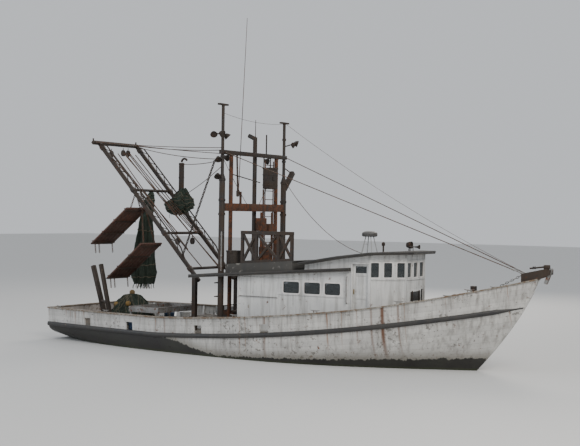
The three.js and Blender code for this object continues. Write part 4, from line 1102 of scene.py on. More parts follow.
def make_deck():
    """Deck planks beside, behind and before the hatch, and the covering boards."""
    rim = HATCH["half"] + HATCH_RIM
    parts = mirrored_pair(deck_planks(np.arange(rim, 2.6, 0.098), DECK_AFT, STEM))
    inner = np.linspace(-rim, rim, 11)
    parts += deck_planks(inner, DECK_AFT, HATCH["x0"] - HATCH_RIM)
    parts += deck_planks(inner, HATCH["x1"] + HATCH_RIM, STEM)
    parts += mirrored_pair([covering_board()])
    build("deck_planking", parts, [DECK_WOOD, CAP_WOOD],
          replaces=["deck_aft", "deck_hatchway", "deck_forward"])


# House

SIDE_WINDOWS = ((1.63, 2.24), (2.37, 2.97), (3.08, 3.66))
SIDE_SILL, SIDE_HEAD = 2.12, 2.53
FRONT_SILL, FRONT_HEAD, FRONT_PITCH = 2.72, 3.21, 0.42
# Corner boards: x, y, foot, head
CORNERS = ((HOUSE_FRONT, -1.452, 1.3, 3.44), (5.432, -0.642, 1.36, 3.44), (0.012, -1.885, 0.72, 2.6))
GRAB_X, RADAR_X = 3.86, 3.8
WHEEL = np.array([4.36, 0, 2.2])


def window(x0, x1, z0, z1, radius, border=0.05, proud=0.014):
    """A pane, and a frame swept round a rounded rectangle."""
    ring = rounded((x1 - x0) / 2, (z1 - z0) / 2, radius, 5)
    path = xyz((x0 + x1) / 2 + ring[:, 0], 0 * ring[:, 0], (z0 + z1) / 2 + ring[:, 1])
    edge = sweep(path, rounded(border / 2, 0.019, 0.008, 2), True, (0, 1, 0)).moved((0, 0.019 - proud, 0))
    return [edge, slab(x0 - 0.005, x1 + 0.005, 0.018, 0.026, z0 - 0.005, z1 + 0.005, 0.002, 1)]


def facet_windows(a, b):
    """Three windows in a facet of the wheelhouse front."""
    made = []
    for k in (-1, 0, 1):
        middle = math.dist(a, b) / 2 + k * FRONT_PITCH
        made += window(middle - 0.15, middle + 0.15, FRONT_SILL, FRONT_HEAD, 0.05, 0.045)
    return on_wall(made, a, b)


def make_windows():
    """Three windows in each house side and each facet of the wheelhouse front."""
    side = []
    for x0, x1 in SIDE_WINDOWS:
        side += window(wall_at(x0), wall_at(x1), SIDE_SILL, SIDE_HEAD, 0.075)
    parts = mirrored_pair(on_wall(side) + facet_windows(*FACETS[0])) + facet_windows(*FACETS[1])
    build("house_windows", parts, [WINDOW_TRIM, PANE])


def wall_bar(x0, x1, z, proud, wide, deep, soft, slot=0):
    """A level bar on the house side, its middle proud of the wall."""
    return beam((wall_at(x0), -proud, z), (wall_at(x1), -proud, z), wide, deep, soft, slot=slot)


def wall_post(x, z0, z1, proud, wide, deep, soft, slot=0):
    """An upright bar on the house side."""
    return beam((wall_at(x), -proud, z0), (wall_at(x), -proud, z1), wide, deep, soft, slot=slot)


def wall_stud(x, z, proud):
    """A short bar from the house side out to a grab rail."""
    return beam((wall_at(x), -proud, z), (wall_at(x), 0.012, z), 0.03, 0.03, 0.008, (1, 0, 0), 1)


def side_mouldings():
    """A house side's drip rail, rub strip, grab rail on studs and base board."""
    parts = [wall_bar(0.02, 2.3, 2.6, 0.012, 0.03, 0.03, 0.008),
             wall_bar(1.5, 3.78, 2.09, 0.01, 0.024, 0.022, 0.006),
             wall_bar(0.05, 1.45, 1.98, 0.03, 0.022, 0.022, 0.009, 1)]
    parts += [wall_stud(x, 1.98, 0.03) for x in (0.12, 0.78, 1.4)]
    x = np.linspace(0.02, 4.6, 40)
    path = xyz(wall_at(x), 0 * x - 0.008, deck_top(x) + 0.06)
    return parts + [sweep(path, rounded(0.014, 0.05, 0.008, 2), ref=(0, 0, 1))]


def door_casing():
    """Posts and rails round the side door, and an upright grab rail abaft it."""
    parts = []
    for x in (DOOR["aft"], DOOR["front"]):
        parts += [wall_post(x, DOOR["low"], DOOR["top"], 0.008, 0.035, 0.05, 0.008)]
    for z in (DOOR["low"], DOOR["top"] - 0.01):
        parts += [wall_bar(DOOR["aft"] - 0.035, HOUSE_FRONT, z, 0.012, 0.045, 0.055, 0.008)]
    parts += [wall_post(GRAB_X, 1.9, 2.75, 0.045, 0.024, 0.024, 0.01, 1)]
    return parts + [wall_stud(GRAB_X, z, 0.045) for z in (1.92, 2.73)]


def sills(a, b):
    """Level bars under and over the windows of a wheelhouse facet."""
    end = math.dist(a, b) - 0.02
    bars = [beam((0.02, -0.014, z), (end, -0.014, z), 0.03, 0.035, 0.01) for z in (2.67, 3.255)]
    return on_wall(bars, a, b)


def make_trim():
    """Mouldings of the house's sides, corner boards, and sills of its front."""
    corners = [beam((x, y, low), (x, y, top), 0.06, 0.06, 0.012, (1, 0, 0)) for x, y, low, top in CORNERS]
    side = on_wall(side_mouldings() + door_casing()) + corners + sills(*FACETS[0])
    build("house_trim", mirrored_pair(side) + sills(*FACETS[1]), [HOUSE_WHITE, ZINC])


def make_front_hatch():
    """A cover on the wheelhouse front: a raised panel under two irons."""
    parts = [slab(0.5, 1.3, -0.012, 0.03, 1.95, 2.34, 0.008),
             slab(0.56, 1.24, -0.02, -0.01, 2.0, 2.29, slot=1)]
    parts += [beam((x, -0.03, 1.97), (x, -0.03, 2.32), 0.03, 0.02, 0.005, slot=2) for x in (0.66, 1.14)]
    parts = [part.moved((0, -0.26, 0)) for part in on_wall(parts, *FACETS[1])]
    build("front_hatch_cover", parts, [HOUSE_WHITE, TRIM_BLACK, STEEL])


def make_wheelhouse_doors():
    """Wheelhouse doors: stiles and rails round a sunk panel and a pane."""
    x0, x1 = wall_at(DOOR["aft"]) + 0.003, wall_at(DOOR["front"]) - 0.003
    z0, z1 = DOOR["low"] + 0.008, DOOR["top"] - 0.008
    parts = [slab(x0 + 0.02, x1 - 0.02, 0.079, 0.095, z0 + 0.02, 2.84, 0.003),
             slab(x0, x0 + 0.1, 0.068, 0.104, z0, z1), slab(x1 - 0.1, x1, 0.068, 0.104, z0, z1)]
    for low, top in ((z0, z0 + 0.2), (2.05, 2.17), (2.76, 2.86), (3.07, z1)):
        parts += [slab(x0 + 0.09, x1 - 0.09, 0.069, 0.103, low, top)]
    parts += [slab(x0 + 0.08, x1 - 0.08, 0.082, 0.09, 2.85, 3.08, 0.002, 1),
              slab(x0 + 0.03, x0 + 0.07, 0.062, 0.07, 2.2, 2.36, 0.003, 2)]
    starboard, looks = on_wall(parts), [HOUSE_WHITE, PANE, BRONZE]
    for side, leaf in (("starboard", starboard), ("port", [part.mirrored() for part in starboard])):
        build(f"wheelhouse_door_leaf_{side}", leaf, looks, f"door_{side}",
              [f"wheelhouse_door_{side}"])


def make_aft_door():
    """The after door: a leaf with stiles, rails, a pane and a bent handle."""
    parts = [slab(0.003, 0.043, -0.947, -0.262, 0.901, 2.543)]
    parts += [slab(-0.012, 0.01, y, y + 0.09, 0.91, 2.535, 0.005) for y in (-0.94, -0.36)]
    for low, top in ((0.91, 1.08), (1.62, 1.72), (2.42, 2.535)):
        parts += [slab(-0.011, 0.01, -0.87, -0.34, low, top, 0.005)]
    knee = (-0.05, -0.34, 1.66)
    parts += [slab(-0.004, 0.05, -0.8, -0.41, 1.85, 2.3, 0.003, 1),
              rod(knee, (-0.05, -0.42, 1.66), 0.011, 8, 2), rod(knee, (0.0, -0.34, 1.66), 0.011, 8, 2)]
    build("aft_door_leaf", parts, [HOUSE_WHITE, PANE, BRONZE], "aft_door", ["aft_door"])


def make_eaves():
    """Round mouldings along the edges of both roofs."""
    parts = []
    for s in (-1, 1):
        x = np.linspace(-1.88, 3.98, 40)
        half = np.interp(x, [-1.9, 0, 4.0], [2.1, 2.1, 1.7]) - 0.012
        parts += [tube(xyz(x, s * half, lower_roof(x) - 0.045), 0.034)]
        x = np.linspace(2.29, 5.74, 40)
        half = np.interp(x, UPPER_ROOF[:, 0], UPPER_ROOF[:, 2]) - 0.012
        parts += [tube(xyz(x, s * half, upper_roof(x) - 0.04), 0.034)]
    y = np.linspace(-2.08, 2.08, 9)
    parts += [tube(xyz(0 * y - 1.882, y, 0 * y + lower_roof(-1.9) - 0.045), 0.034)]
    y = np.linspace(-0.75, 0.75, 7)
    parts += [tube(xyz(0 * y + 5.735, y, 0 * y + 3.515), 0.032)]
    build("eave_mouldings", parts, TRIM_BLACK)


def make_wheelhouse_roof():
    """A crowned board whose breadth and height follow the roof's outline."""
    x = np.interp(np.linspace(0, 3, 13), np.arange(4), UPPER_ROOF[:, 0])
    half = np.interp(x, UPPER_ROOF[:, 0], UPPER_ROOF[:, 2])
    ring = rounded(1.0, 0.045, 0.02, 2)
    crown = 0.012 * (1 - ring[:, 0] ** 2) * (ring[:, 1] > 0)
    z = upper_roof(x)[:, None] - 0.057 + ring[:, 1] + crown
    board = loft(xyz(x[:, None], half[:, None] * ring[:, 0], z))
    build("wheelhouse_roof_deck", [board], ROOF, replaces=["wheelhouse_roof"])


def make_horns():
    """Two horns, a searchlight and a vent: turned profiles on stalks."""
    parts = []
    for y, length in ((-0.1, 0.42), (0.06, 0.34)):
        bell = [[0.012, 0], [0.014, length * 0.55], [0.03, length * 0.82], [0.07, length], [0.062, length],
                [0.022, length * 0.8], [0.006, length * 0.5]]
        parts += [lathe(bell, (5.2, y, 3.68), 0, 16), rod((5.32, y, 3.54), (5.32, y, 3.67), 0.012)]
    lamp = [[0.02, -0.09], [0.085, -0.07], [0.11, 0.03], [0.115, 0.09], [0.1, 0.09], [0.09, 0.05],
            [0.01, 0.045]]
    parts += [lathe(lamp, (4.95, 0.52, 3.72), 0, 20), rod((4.95, 0.52, 3.5), (4.95, 0.52, 3.64), 0.02)]
    head = [[0.045, 0], [0.055, 0.02], [0.055, 0.09], [0.03, 0.12], [0.001, 0.125]]
    parts += [rod((4.3, 0, 3.44), (4.3, 0, 3.72), 0.028), lathe(head, (4.3, 0, 3.68), 2, 14)]
    build("roof_horns_and_lamps", parts, STEEL)


def make_platform():
    """Planks of the platform roof: rounded boards side by side."""
    boards = []
    for x in np.arange(-0.53, 2.0, 0.132):
        z = lower_roof(x + 0.06) + PLATFORM_THICK
        boards.append(slab(x, x + 0.126, -1.855, 1.855, z - 0.005, z + 0.012, 0.005))
    build("platform_planks", boards, ROOF)


def make_roof_locker():
    """The platform's locker: a box, a lid, two battens and a hasp."""
    z = lower_roof(-0.17) + PLATFORM_THICK
    parts = [slab(-0.545, -0.17, -1.82, -1.42, z - 0.02, z + 0.4, 0.012),
             slab(-0.56, -0.155, -1.835, -1.405, z + 0.385, z + 0.43, 0.014)]
    parts += [slab(x, x + 0.05, -1.828, -1.8, z, z + 0.385) for x in (-0.5, -0.265)]
    parts += [slab(-0.4, -0.315, -1.84, -1.825, z + 0.33, z + 0.41, 0.004, 1)]
    build("roof_locker", parts, [DARK_WOOD, STEEL])


def make_radar():
    """Radar: a dark drum with a seam on four pale legs that stand on the roof."""
    drum = [[0.001, 3.962], [0.215, 3.962], [0.25, 3.99], [0.254, 4.03], [0.247, 4.035], [0.247, 4.045],
            [0.253, 4.05], [0.238, 4.09], [0.15, 4.134], [0.001, 4.144]]
    shoe = [[0.001, 0], [0.04, 0.001], [0.038, 0.01], [0.001, 0.012]]
    parts = [lathe(drum, (RADAR_X, 0, 0), 2, 36)]
    for sx in (-1, 1):
        for sy in (-1, 1):
            foot = (RADAR_X + sx * 0.19, sy * 0.19, upper_roof(RADAR_X + sx * 0.19) + 0.004)
            head = (RADAR_X + sx * 0.09, sy * 0.09, 3.97)
            parts += [rod(foot, head, 0.0155, 10, 1), lathe(shoe, foot, 2, 14, 1)]
    parts += [rod((RADAR_X - 0.14, -0.14, 3.72), (RADAR_X - 0.14, 0.14, 3.72), 0.009, 8, 1)]
    build("radar_and_stand", parts, [PLASTIC_DARK, PLASTIC_GREY], replaces=["radar"])


def make_helm_wheel():
    """The wheel on the console: a round rim, six spokes and a turned hub."""
    t = TAU * np.arange(32) / 32
    parts = [tube(WHEEL + 0.26 * xyz(0 * t, np.cos(t), np.sin(t)), 0.018, 8, True)]
    for angle in TAU * np.arange(6) / 6:
        way = np.array([0, math.cos(angle), math.sin(angle)])
        parts += [rod(WHEEL + way * 0.03, WHEEL + way * 0.35, 0.013, 8)]
    hub = lathe([[0.001, -0.05], [0.05, -0.04], [0.055, 0.02], [0.03, 0.12], [0.001, 0.13]], WHEEL, 0, 16)
    build("helm_wheel", parts + [hub], WOOD)


def make_helm_instruments():
    """A domed compass, and a throttle lever with a turned knob."""
    knob = [[0.001, 0], [0.026, 0.01], [0.03, 0.03], [0.001, 0.055]]
    parts = [lathe([[0.1, 0], [0.1, 0.05], [0.08, 0.1], [0.04, 0.13], [0.001, 0.14]], (4.8, 0, 2.35), 2, 20),
             rod((4.75, -0.4, 2.35), (4.7, -0.4, 2.5), 0.012), lathe(knob, (4.7, -0.4, 2.49), 2, 12)]
    build("helm_instruments", parts, STEEL)


# Gantry

# Floodlights: place, forward of the gantry's plane, and the way each faces
FLOODLIGHTS = (((0.05, -2.4, 7.21), (0.5, -0.6, -0.6)), ((0.14, -2.07, 7.24), (0.9, 0, -0.4)),
               ((0.05, -1.66, 7.18), (0.5, 0.5, -0.7)), ((0.1, -2.2, 6.4), (0.5, -0.4, -0.8)),
               ((0.08, -2.2, 5.85), (0.4, -0.5, -0.8)), ((0.1, 2.32, 7.14), (0.8, 0.3, -0.5)),
               ((0.1, 2.52, 7.2), (0.8, 0.4, -0.3)), ((-0.3, -1.2, 6.5), (-0.8, 0, -0.6)),
               ((-0.3, 1.2, 6.5), (-0.8, 0, -0.6)))
# Arms that carry them, from end to end
LAMP_ARMS = (((0, -2.42, 7.24), (0, -1.6, 7.24)), ((0, -1.84, 6.42), (0.06, -2.2, 6.48)),
             ((0, -1.84, 5.86), (0.06, -2.2, 5.93)), ((0, 1.84, 7.05), (0.05, 2.56, 7.22)),
             ((0, -1.2, 6.64), (-0.3, -1.2, 6.58)), ((0, 1.2, 6.64), (-0.3, 1.2, 6.58)))
# Bands round a mast: height, radius
MAST_BANDS = ((2.9, 0.118), (4.62, 0.118), (5.08, 0.118), (5.75, 0.116), (6.52, 0.074), (7.3, 0.072))
LADDER_X, LADDER_NEAR, LADDER_FAR = GANTRY_X - 0.098, 0.82, 1.32
# Boxes on the ladder's side of the frame: y and z from and to
FRAME_BOXES = ((0.52, 0.98, 3.02, 3.5), (0.86, 1.3, 3.9, 4.3), (0.3, 0.7, 4.05, 4.5))
# Light wires: from, to, sag, points, radius
AERIALS = (((GANTRY_X, 1.84, 5.9), (3.1, 1.2, 3.32), 0.5, 20, 0.01),
           ((GANTRY_X, 1.84, 7.9), (9.0, 0.1, 3.0), 0.25, 20, 0.006),
           ((GANTRY_X, -1.84, 7.95), (GANTRY_X, 1.84, 7.85), 0.12, 16, 0.006),
           ((GANTRY_X, -1.84, 6.5), (GANTRY_X, -0.4, 4.95), 0.05, 12, 0.009),
           ((GANTRY_X, 1.5, 6.6), (GANTRY_X, 0.3, 4.95), 0.05, 12, 0.009))


def at_gantry(place):
    """A place whose x is given from the gantry's plane."""
    return np.array([GANTRY_X, 0, 0]) + place


def both_ends(half):
    """A profile of radius and height, with its lower half the same as its upper one."""
    return [[radius, -height] for radius, height in half] + half[::-1]


def band(at, inner, outer, half, soft, sides):
    """A ring round an upright pole, with its edges drawn in."""
    return lathe(both_ends([[inner, half], [outer, half - soft]]), at, 2, sides)


def floodlight(place, way, size=0.12):
    """A lamp that faces a way: a shallow bell with a flat glass."""
    bell = np.array([[0.02, -0.9], [0.45, -0.8], [0.8, -0.25], [1.0, 0.2], [1.02, 0.32], [0.9, 0.32],
                     [0.86, 0.22], [0.02, 0.2]])
    way = unit(np.asarray(way, float))
    side = unit(np.cross((0, 0, 1), way))
    return lathe(bell * size, sides=16).copied([place], [xyz(side, np.cross(way, side), way)])


def mast(y, top):
    """A mast that thins under its head, with a cross-tree, bands and two cleats."""
    x = GANTRY_X
    profile = [[0.1, 0.66], [0.1, 5.8], [0.085, 5.86], [0.055, 5.95], [0.053, top - 0.05]]
    parts = [lathe(profile, (x, y, 0), 2, 28),
             slab(x - 0.06, x + 0.06, y - 0.24, y + 0.24, top - 0.058, top, 0.01)]
    parts += [band((x, y, z), radius - 0.02, radius, 0.045, 0.01, 20) for z, radius in MAST_BANDS]
    for z in (1.9, 2.35):
        parts += [rod((x - 0.16, y - 0.13, z), (x - 0.16, y + 0.13, z), 0.02, 8),
                  rod((x - 0.09, y, z), (x - 0.16, y, z), 0.024, 8)]
    return parts


def make_masts():
    """Both masts, floodlights on arms, a strut, a hanging lamp and a light yard."""
    parts = [floodlight(at_gantry(place), way) for place, way in FLOODLIGHTS]
    parts += [rod(at_gantry(a), at_gantry(b), 0.022, 8) for a, b in LAMP_ARMS]
    x, hang_x = GANTRY_X, GANTRY_X - 0.04
    parts += [beam((x, 1.86, 5.5), (x, 2.44, 6.16), 0.17, 0.17, 0.03, (1, 0, 0))]
    parts += [rod((x, 1.86, 6.3), (x, 2.4, 6.1), 0.02, 8)]
    for side, top in MAST_TOPS.items():
        parts += mast(side * MAST_Y, top)
    lamp = [[0.001, -0.12], [0.05, -0.1], [0.055, 0.08], [0.001, 0.12]]
    parts += [rod((hang_x, -0.97, 6.6), (hang_x, -0.9, 5.36), 0.03, 8),
              lathe(lamp, (hang_x, -0.9, 5.32), 2, 12), rod((x, -1.3, 5.95), (x, 0.36, 5.72), 0.018, 8)]
    build("masts_and_lamps", parts, STEEL, sharp=40,
          replaces=["mast_starboard", "mast_port"])


def make_gantry_bar():
    """The top bar, a banded locker that hangs from it, and two stub aerials."""
    x = GANTRY_X
    parts = [beam((x, -1.95, TOP_BAR_Z), (x, 1.95, TOP_BAR_Z), 0.14, 0.14, 0.012, (1, 0, 0)),
             slab(x, x + 0.3, 0.51, 1.01, 5.51, 6.22, 0.02),
             slab(x - 0.01, x + 0.32, 0.5, 1.02, 6.2, 6.25, 0.012)]
    parts += [slab(x - 0.005, x + 0.31, 0.505, 1.015, z, z + 0.05) for z in (5.62, 5.98)]
    parts += [slab(x, x + 0.03, y, y + 0.04, 6.2, 6.64, 0.005) for y in (0.54, 0.94)]
    parts += [slab(x + 0.3, x + 0.32, 0.7, 0.82, 5.8, 5.94, 0.008),
              rod((x, 0.04, 6.7), (x, 0.04, 7.86), 0.02, 8, end=0.01),
              rod((x, 0.72, 6.7), (x, 0.72, 7.4), 0.025, 8)]
    build("gantry_bar_and_locker", parts, STEEL, replaces=["gantry_top_bar"])


def make_gantry_frame():
    """The inner frame: two poles, a beam, a ladder on brackets, pipes and boxes."""
    x, rail_x, near, far = GANTRY_X, LADDER_X, LADDER_NEAR, LADDER_FAR
    parts = [rod((x, s * POLE_Y, 0.68), (x, s * POLE_Y, 6.589), 0.0695, 24) for s in (-1, 1)]
    parts += [beam((x, -1.76, BEAM_Z), (x, 1.76, BEAM_Z), 0.26, 0.16, 0.012, (0, 0, 1))]
    parts += [rod((rail_x, y, 2.95), (rail_x, y, 6.5), 0.02) for y in (near, far)]
    parts += [rod((rail_x, near, z), (rail_x, far, z), 0.014, 8) for z in np.arange(3.05, 6.5, 0.3)]
    parts += [beam((rail_x, far, z), (x, far, z), 0.04, 0.03) for z in (3.25, 6.25)]
    parts += [rod((x - 0.02, 0.62, 2.7), (x - 0.02, 0.6, 5.5), 0.03),
              rod((x + 0.02, 0.44, 2.74), (x + 0.02, 0.44, 4.7), 0.045, 12),
              rod((x + 0.03, 1.08, 2.74), (x + 0.03, 1.08, 4.7), 0.038, 12)]
    parts += [slab(x - 0.13, x + 0.08, y0, y1, z0, z1, 0.015) for y0, y1, z0, z1 in FRAME_BOXES]
    build("gantry_frame_and_ladder", parts, RUSTY, replaces=["gantry_inner_frame"])


def make_conduit():
    """A pipe beside the starboard mast, with its clamps."""
    x, y = GANTRY_X + 0.07, -1.93
    clamps = [band((x, y, z), 0.02, 0.034, 0.02, 0.005, 12) for z in np.arange(2.9, 4.0, 0.35)]
    build("mast_conduit", [rod((x, y, 2.75), (x, y, 4.04), 0.022)] + clamps, ZINC)


def make_turnbuckles():
    """Turnbuckles low on the forestays: round bars that swell and thin."""
    swell = [0.6, 1, 1, 1.1, 0.6, 0.55, 0.55, 0.6, 1.1, 1, 1, 0.6]
    parts = []
    for s in (-1, 1):
        top, foot = np.array([GANTRY_X + 0.07, s * MAST_Y, TOP_BAR_Z]), np.array([9.18, s * 0.06, 2.92])
        end = foot - unit(foot - top) * 0.15
        start = end - unit(foot - top) * 0.45
        parts += [tube(start + (end - start) * np.linspace(0, 1, 12)[:, None], 0.024, scale=swell)]
    build("stay_turnbuckles", parts, ZINC)


def make_aerials():
    """Light wires between the masts, to the roof and to the bow."""
    wires = [tube(hung(a, b, sag, steps), radius, 6) for a, b, sag, steps, radius in AERIALS]
    build("aerial_wires", wires, WIRE)


# Boom

# The light chord over a boom rail: share and height at both ends of each bar, and its radius
CHORD = ((0.14, 0.06, 0.2, 0.2, 0.024), (0.2, 0.2, 0.955, 0.2, 0.026), (0.955, 0.2, 0.99, 0.06, 0.024))
BLOCKS = ((0.97, -0.55), (0.985, 0.17), (0.985, 0.44), (0.31, -0.4), (0.31, 0.45))
# Falls along the boom: share and side of the upper end, then of the lower one
FALLS = ((0.945, -0.59, 0.07, -0.47), (0.945, -0.51, 0.32, -0.41), (0.96, 0.13, 0.32, 0.62),
         (0.96, 0.21, 0.07, 0.55), (0.96, 0.4, 0.07, 0.48), (0.96, 0.48, 0.32, 0.7),
         (0.95, -0.22, 0.2, -0.52), (0.95, 0.76, 0.33, 0.78), (0.97, -0.75, 0.6, -0.6))
# Topping wires: end on the gantry, end on the boom, sag
TOPPING_WIRES = (((GANTRY_X, -1.86, 6.72), (-6.93, 1.04, 7.16), 0.06),
                 ((GANTRY_X, -1.86, 6.42), (-6.93, 0.95, 7.14), 0.11),
                 ((GANTRY_X, 1.84, 6.7), (-6.93, 1.0, 7.18), 0.06),
                 ((GANTRY_X, -1.84, 6.8), (-6.93, -1.3, 7.18), 0.06),
                 ((GANTRY_X, -1.86, 6.4), (-4.79, 1.1, 6.45), 0.06),
                 ((GANTRY_X, -1.86, 6.2), (-4.6, 1.04, 5.3), 0.06))
BUNCH = np.array([-4.86, 1.04, 4.63])


def pulley(place, size=0.105):
    """A block: a grooved sheave between two oval cheeks, with a strop over it."""
    x, y, z = place
    groove = np.array([[0.2, -0.2], [0.82, -0.2], [0.66, 0], [0.82, 0.2], [0.2, 0.2]])
    t = TAU * np.arange(16) / 16
    oval = xyz(size * 0.82 * np.cos(t), 0 * t, size * 1.15 * np.sin(t))
    parts = [lathe(groove * size, place, 1, 16)]
    for s in (-1, 1):
        cheek = oval + [x, y + s * size * 0.26, z]
        parts += [loft(np.stack([cheek, cheek + [0, s * size * 0.12, 0]]))]
    return parts + [rod((x, y, z + size * 0.9), (x, y, z + size * 1.9), size * 0.13, 8)]


def laced_rail(y):
    """A boom rail with bands, a light chord over it, and zigzag lacing between."""
    parts = [beam(on_boom(-0.009, y), on_boom(1, y), 0.12, 0.12, 0.014)]
    for low, low_off, high, high_off, radius in CHORD:
        parts += [rod(on_boom(low, y, low_off), on_boom(high, y, high_off), radius, 8)]
    shares = np.linspace(0.2, 0.955, 19)
    knots = [on_boom(share, y, 0.195 if k % 2 else 0.055) for k, share in enumerate(shares)]
    parts += [rod(p, q, 0.014, 6) for p, q in zip(knots, knots[1:])]
    for share in (0.0775, 0.33, HANG_SHARE, 0.97):
        parts += [beam(on_boom(share - 0.012, y), on_boom(share + 0.012, y), 0.15, 0.15, 0.012)]
    return parts


def davit():
    """The post on the port rail, with bands, and a horn bent along part of a circle."""
    x, y, top = DAVIT["x"], DAVIT["y"], DAVIT["top"]
    t = np.linspace(0, TAU * 0.42, 9)
    horn = xyz(x + 0.13 - 0.13 * np.cos(t), 0 * t + y, top + 0.025 + 0.13 * np.sin(t))
    bands = [band((x, y, z), 0.09, 0.109, 0.03, 0.01, 18) for z in (5.5, 5.95, 6.45)]
    return [rod((x, y, DAVIT["foot"]), (x, y, top), 0.1, 18), tube(horn, 0.04)] + bands


def make_boom_rails():
    """Both laced rails of the boom and the davit."""
    build("boom_rails_and_lacing", laced_rail(-BOOM_HALF) + laced_rail(BOOM_HALF) + davit(), STEEL,
          "boom", sharp=40, replaces=["boom_rail_starboard", "boom_rail_port"])


def make_blocks():
    """Blocks under the boom's bars, and pins at the upper one's ends."""
    parts = []
    for share, y in BLOCKS:
        parts += pulley(on_boom(share, y) - [0, 0, 0.2])
    for y in (-1.3, 1.04):
        pin = on_boom(1.016, y)
        parts += [rod(pin - [0, 0, 0.06], pin + [0, 0, 0.12], 0.03, 8)]
    build("boom_blocks", parts, STEEL, "boom")


def make_falls():
    """Falls of wire under the boom from bar to bar, each with a little sag."""
    parts = [tube(hung(on_boom(high, high_y, -0.1), on_boom(low, low_y, 0.08), 0.05, 14), 0.018, 6)
             for high, high_y, low, low_y in FALLS]
    build("boom_falls", parts, WIRE, "boom")


def make_topping_wires():
    """Wires and a chain from gantry to boom."""
    for k, (a, b, sag) in enumerate(TOPPING_WIRES):
        wire = tube(hung(a, b, sag, 40), 0.013, 6)
        build(f"topping_wire_{k + 1}", [wire], WIRE, blend=("boat", "boom", a, b))
    a, b = (GANTRY_X - 0.05, -2.2, 6.36), tuple(on_boom(0.16, -BOOM_HALF, 0.06))
    build("topping_chain", [chain(a, b, 0.1, 0.016)], STEEL, blend=("boat", "boom", a, b))


# Nets

HANG_X, HANG_Z = (float(value) for value in boom_at(HANG_SHARE))
# The hung net: middle in x, y and z, and half-widths in x and y, from the top down
NET_ROWS = np.array([[HANG_X, -0.02, HANG_Z - 0.05, 0.06, 0.09],
                     [HANG_X - 0.06, -0.02, HANG_Z - 0.33, 0.15, 0.19],
                     [HANG_X - 0.25, -0.01, 4.3, 0.2, 0.23], [HANG_X - 0.33, 0.01, 3.3, 0.33, 0.33],
                     [HANG_X - 0.35, 0.03, 2.45, 0.43, 0.38], [HANG_X - 0.35, 0.03, 2.02, 0.33, 0.3]])
# The heap: share of the way up, height, half-widths in x and y
HEAP_ROWS = np.array([[0, 0.6, 0.8, 0.8], [0.35, 0.93, 0.77, 0.79], [0.7, 1.33, 0.56, 0.55],
                      [0.92, 1.6, 0.3, 0.3], [1, 1.68, 0.05, 0.05]])
HEAP_X, HEAP_Y = -5.62, -0.6


def bunch_at(u, theta, out=1.0):
    """Net bunched on the port rail: an ellipse with a belly, creased by sums of sines."""
    belly = np.interp(u, [0, 0.06, 0.2, 0.45, 0.62, 0.8, 1], [0.12, 0.5, 0.95, 1, 0.78, 0.5, 0.2])
    folds = 1 + 0.18 * np.sin(5 * theta + 6 * u) + 0.11 * np.sin(9 * theta - 9 * u)
    wide = belly * (folds + 0.07 * np.sin(17 * theta + 14 * u)) * out
    rise = 0.84 * u + 0.07 * np.sin(3 * theta) + 0.04 * np.sin(8 * theta + 9 * u)
    return BUNCH + xyz(0.2 * u + 0.56 * wide * np.cos(theta), 0.25 * wide * np.sin(theta), rise)


def bundle_at(t, theta, out=1.0):
    """The hung net: an ellipse whose half-widths follow rows, creased by sines that fade at the top."""
    x, y, z, wide, deep = (np.interp(t, np.linspace(0, 1, 6) ** 0.9, column) for column in NET_ROWS.T)
    crease = 0.13 * np.sin(6 * theta + 3 * t) + 0.08 * np.sin(11 * theta - 7 * t + 1)
    crease = crease + 0.05 * np.sin(19 * theta + 16 * t)
    size = (1 + crease * np.clip(t * 3, 0.2, 1)) * out
    sag = 0.02 * np.sin(9 * theta + 30 * t) * np.clip(t * 2, 0, 1)
    return xyz(x + wide * size * np.cos(theta), y + deep * size * np.sin(theta), z + sag)


def heap_at(u, theta, out=1.0):
    """The heap of net: a dome whose height and half-widths follow rows, creased by sums of sines."""
    z, wide, deep = (np.interp(u, HEAP_ROWS[:, 0], column) for column in HEAP_ROWS.T[1:])
    lump = 1 + 0.07 * np.sin(3 * theta + 2) + 0.06 * np.sin(8 * theta + 9 * u)
    lump = lump + 0.04 * np.sin(17 * theta - 13 * u) + 0.025 * np.sin(31 * theta + 21 * u)
    lump = lump * 0.95 * out
    x, y = HEAP_X - 0.08 * u + wide * lump * np.cos(theta), HEAP_Y + 0.1 * u + deep * lump * np.sin(theta)
    return xyz(x, y, z + 0.05 * np.sin(6 * theta + 11 * u) * (1 - u) * u * 4 + (out - 1) * 0.3)


def body_of(surface, rows, columns):
    """The closed body of such a surface: rows over its height, columns round it."""
    share = np.linspace(0, 1, rows)[:, None]
    theta = TAU * np.arange(columns)[None] / columns
    return loft(surface(share + 0 * theta, theta + 0 * share))


def netting(surface, lines, turn, steps, wire=0.0055):
    """Netting over a surface: two families of twine wind opposite ways and cross into diamonds. A line's
    angle is its start plus the turn times the share over the height, with a sine in it."""
    s = np.linspace(0.015, 0.985, steps)
    parts = []
    for way in (-1, 1):
        for k in range(lines):
            angle = TAU * k / lines + way * turn * s + 0.07 * np.sin(9 * s + 1.3 * k)
            parts += [tube(surface(s, angle, 1.015), wire, 4, slot=2)]
    return parts


def bunch_lashings():
    """Ropes round the bunch at shares of the height that rise and fall by a sine."""
    t = TAU * np.arange(36) / 36
    rings = [bunch_at(0.18 + 0.15 * k + 0.03 * np.sin(t + k), t, 1.04) for k in range(5)]
    return [tube(ring, 0.013, 5, True, 1) for ring in rings]


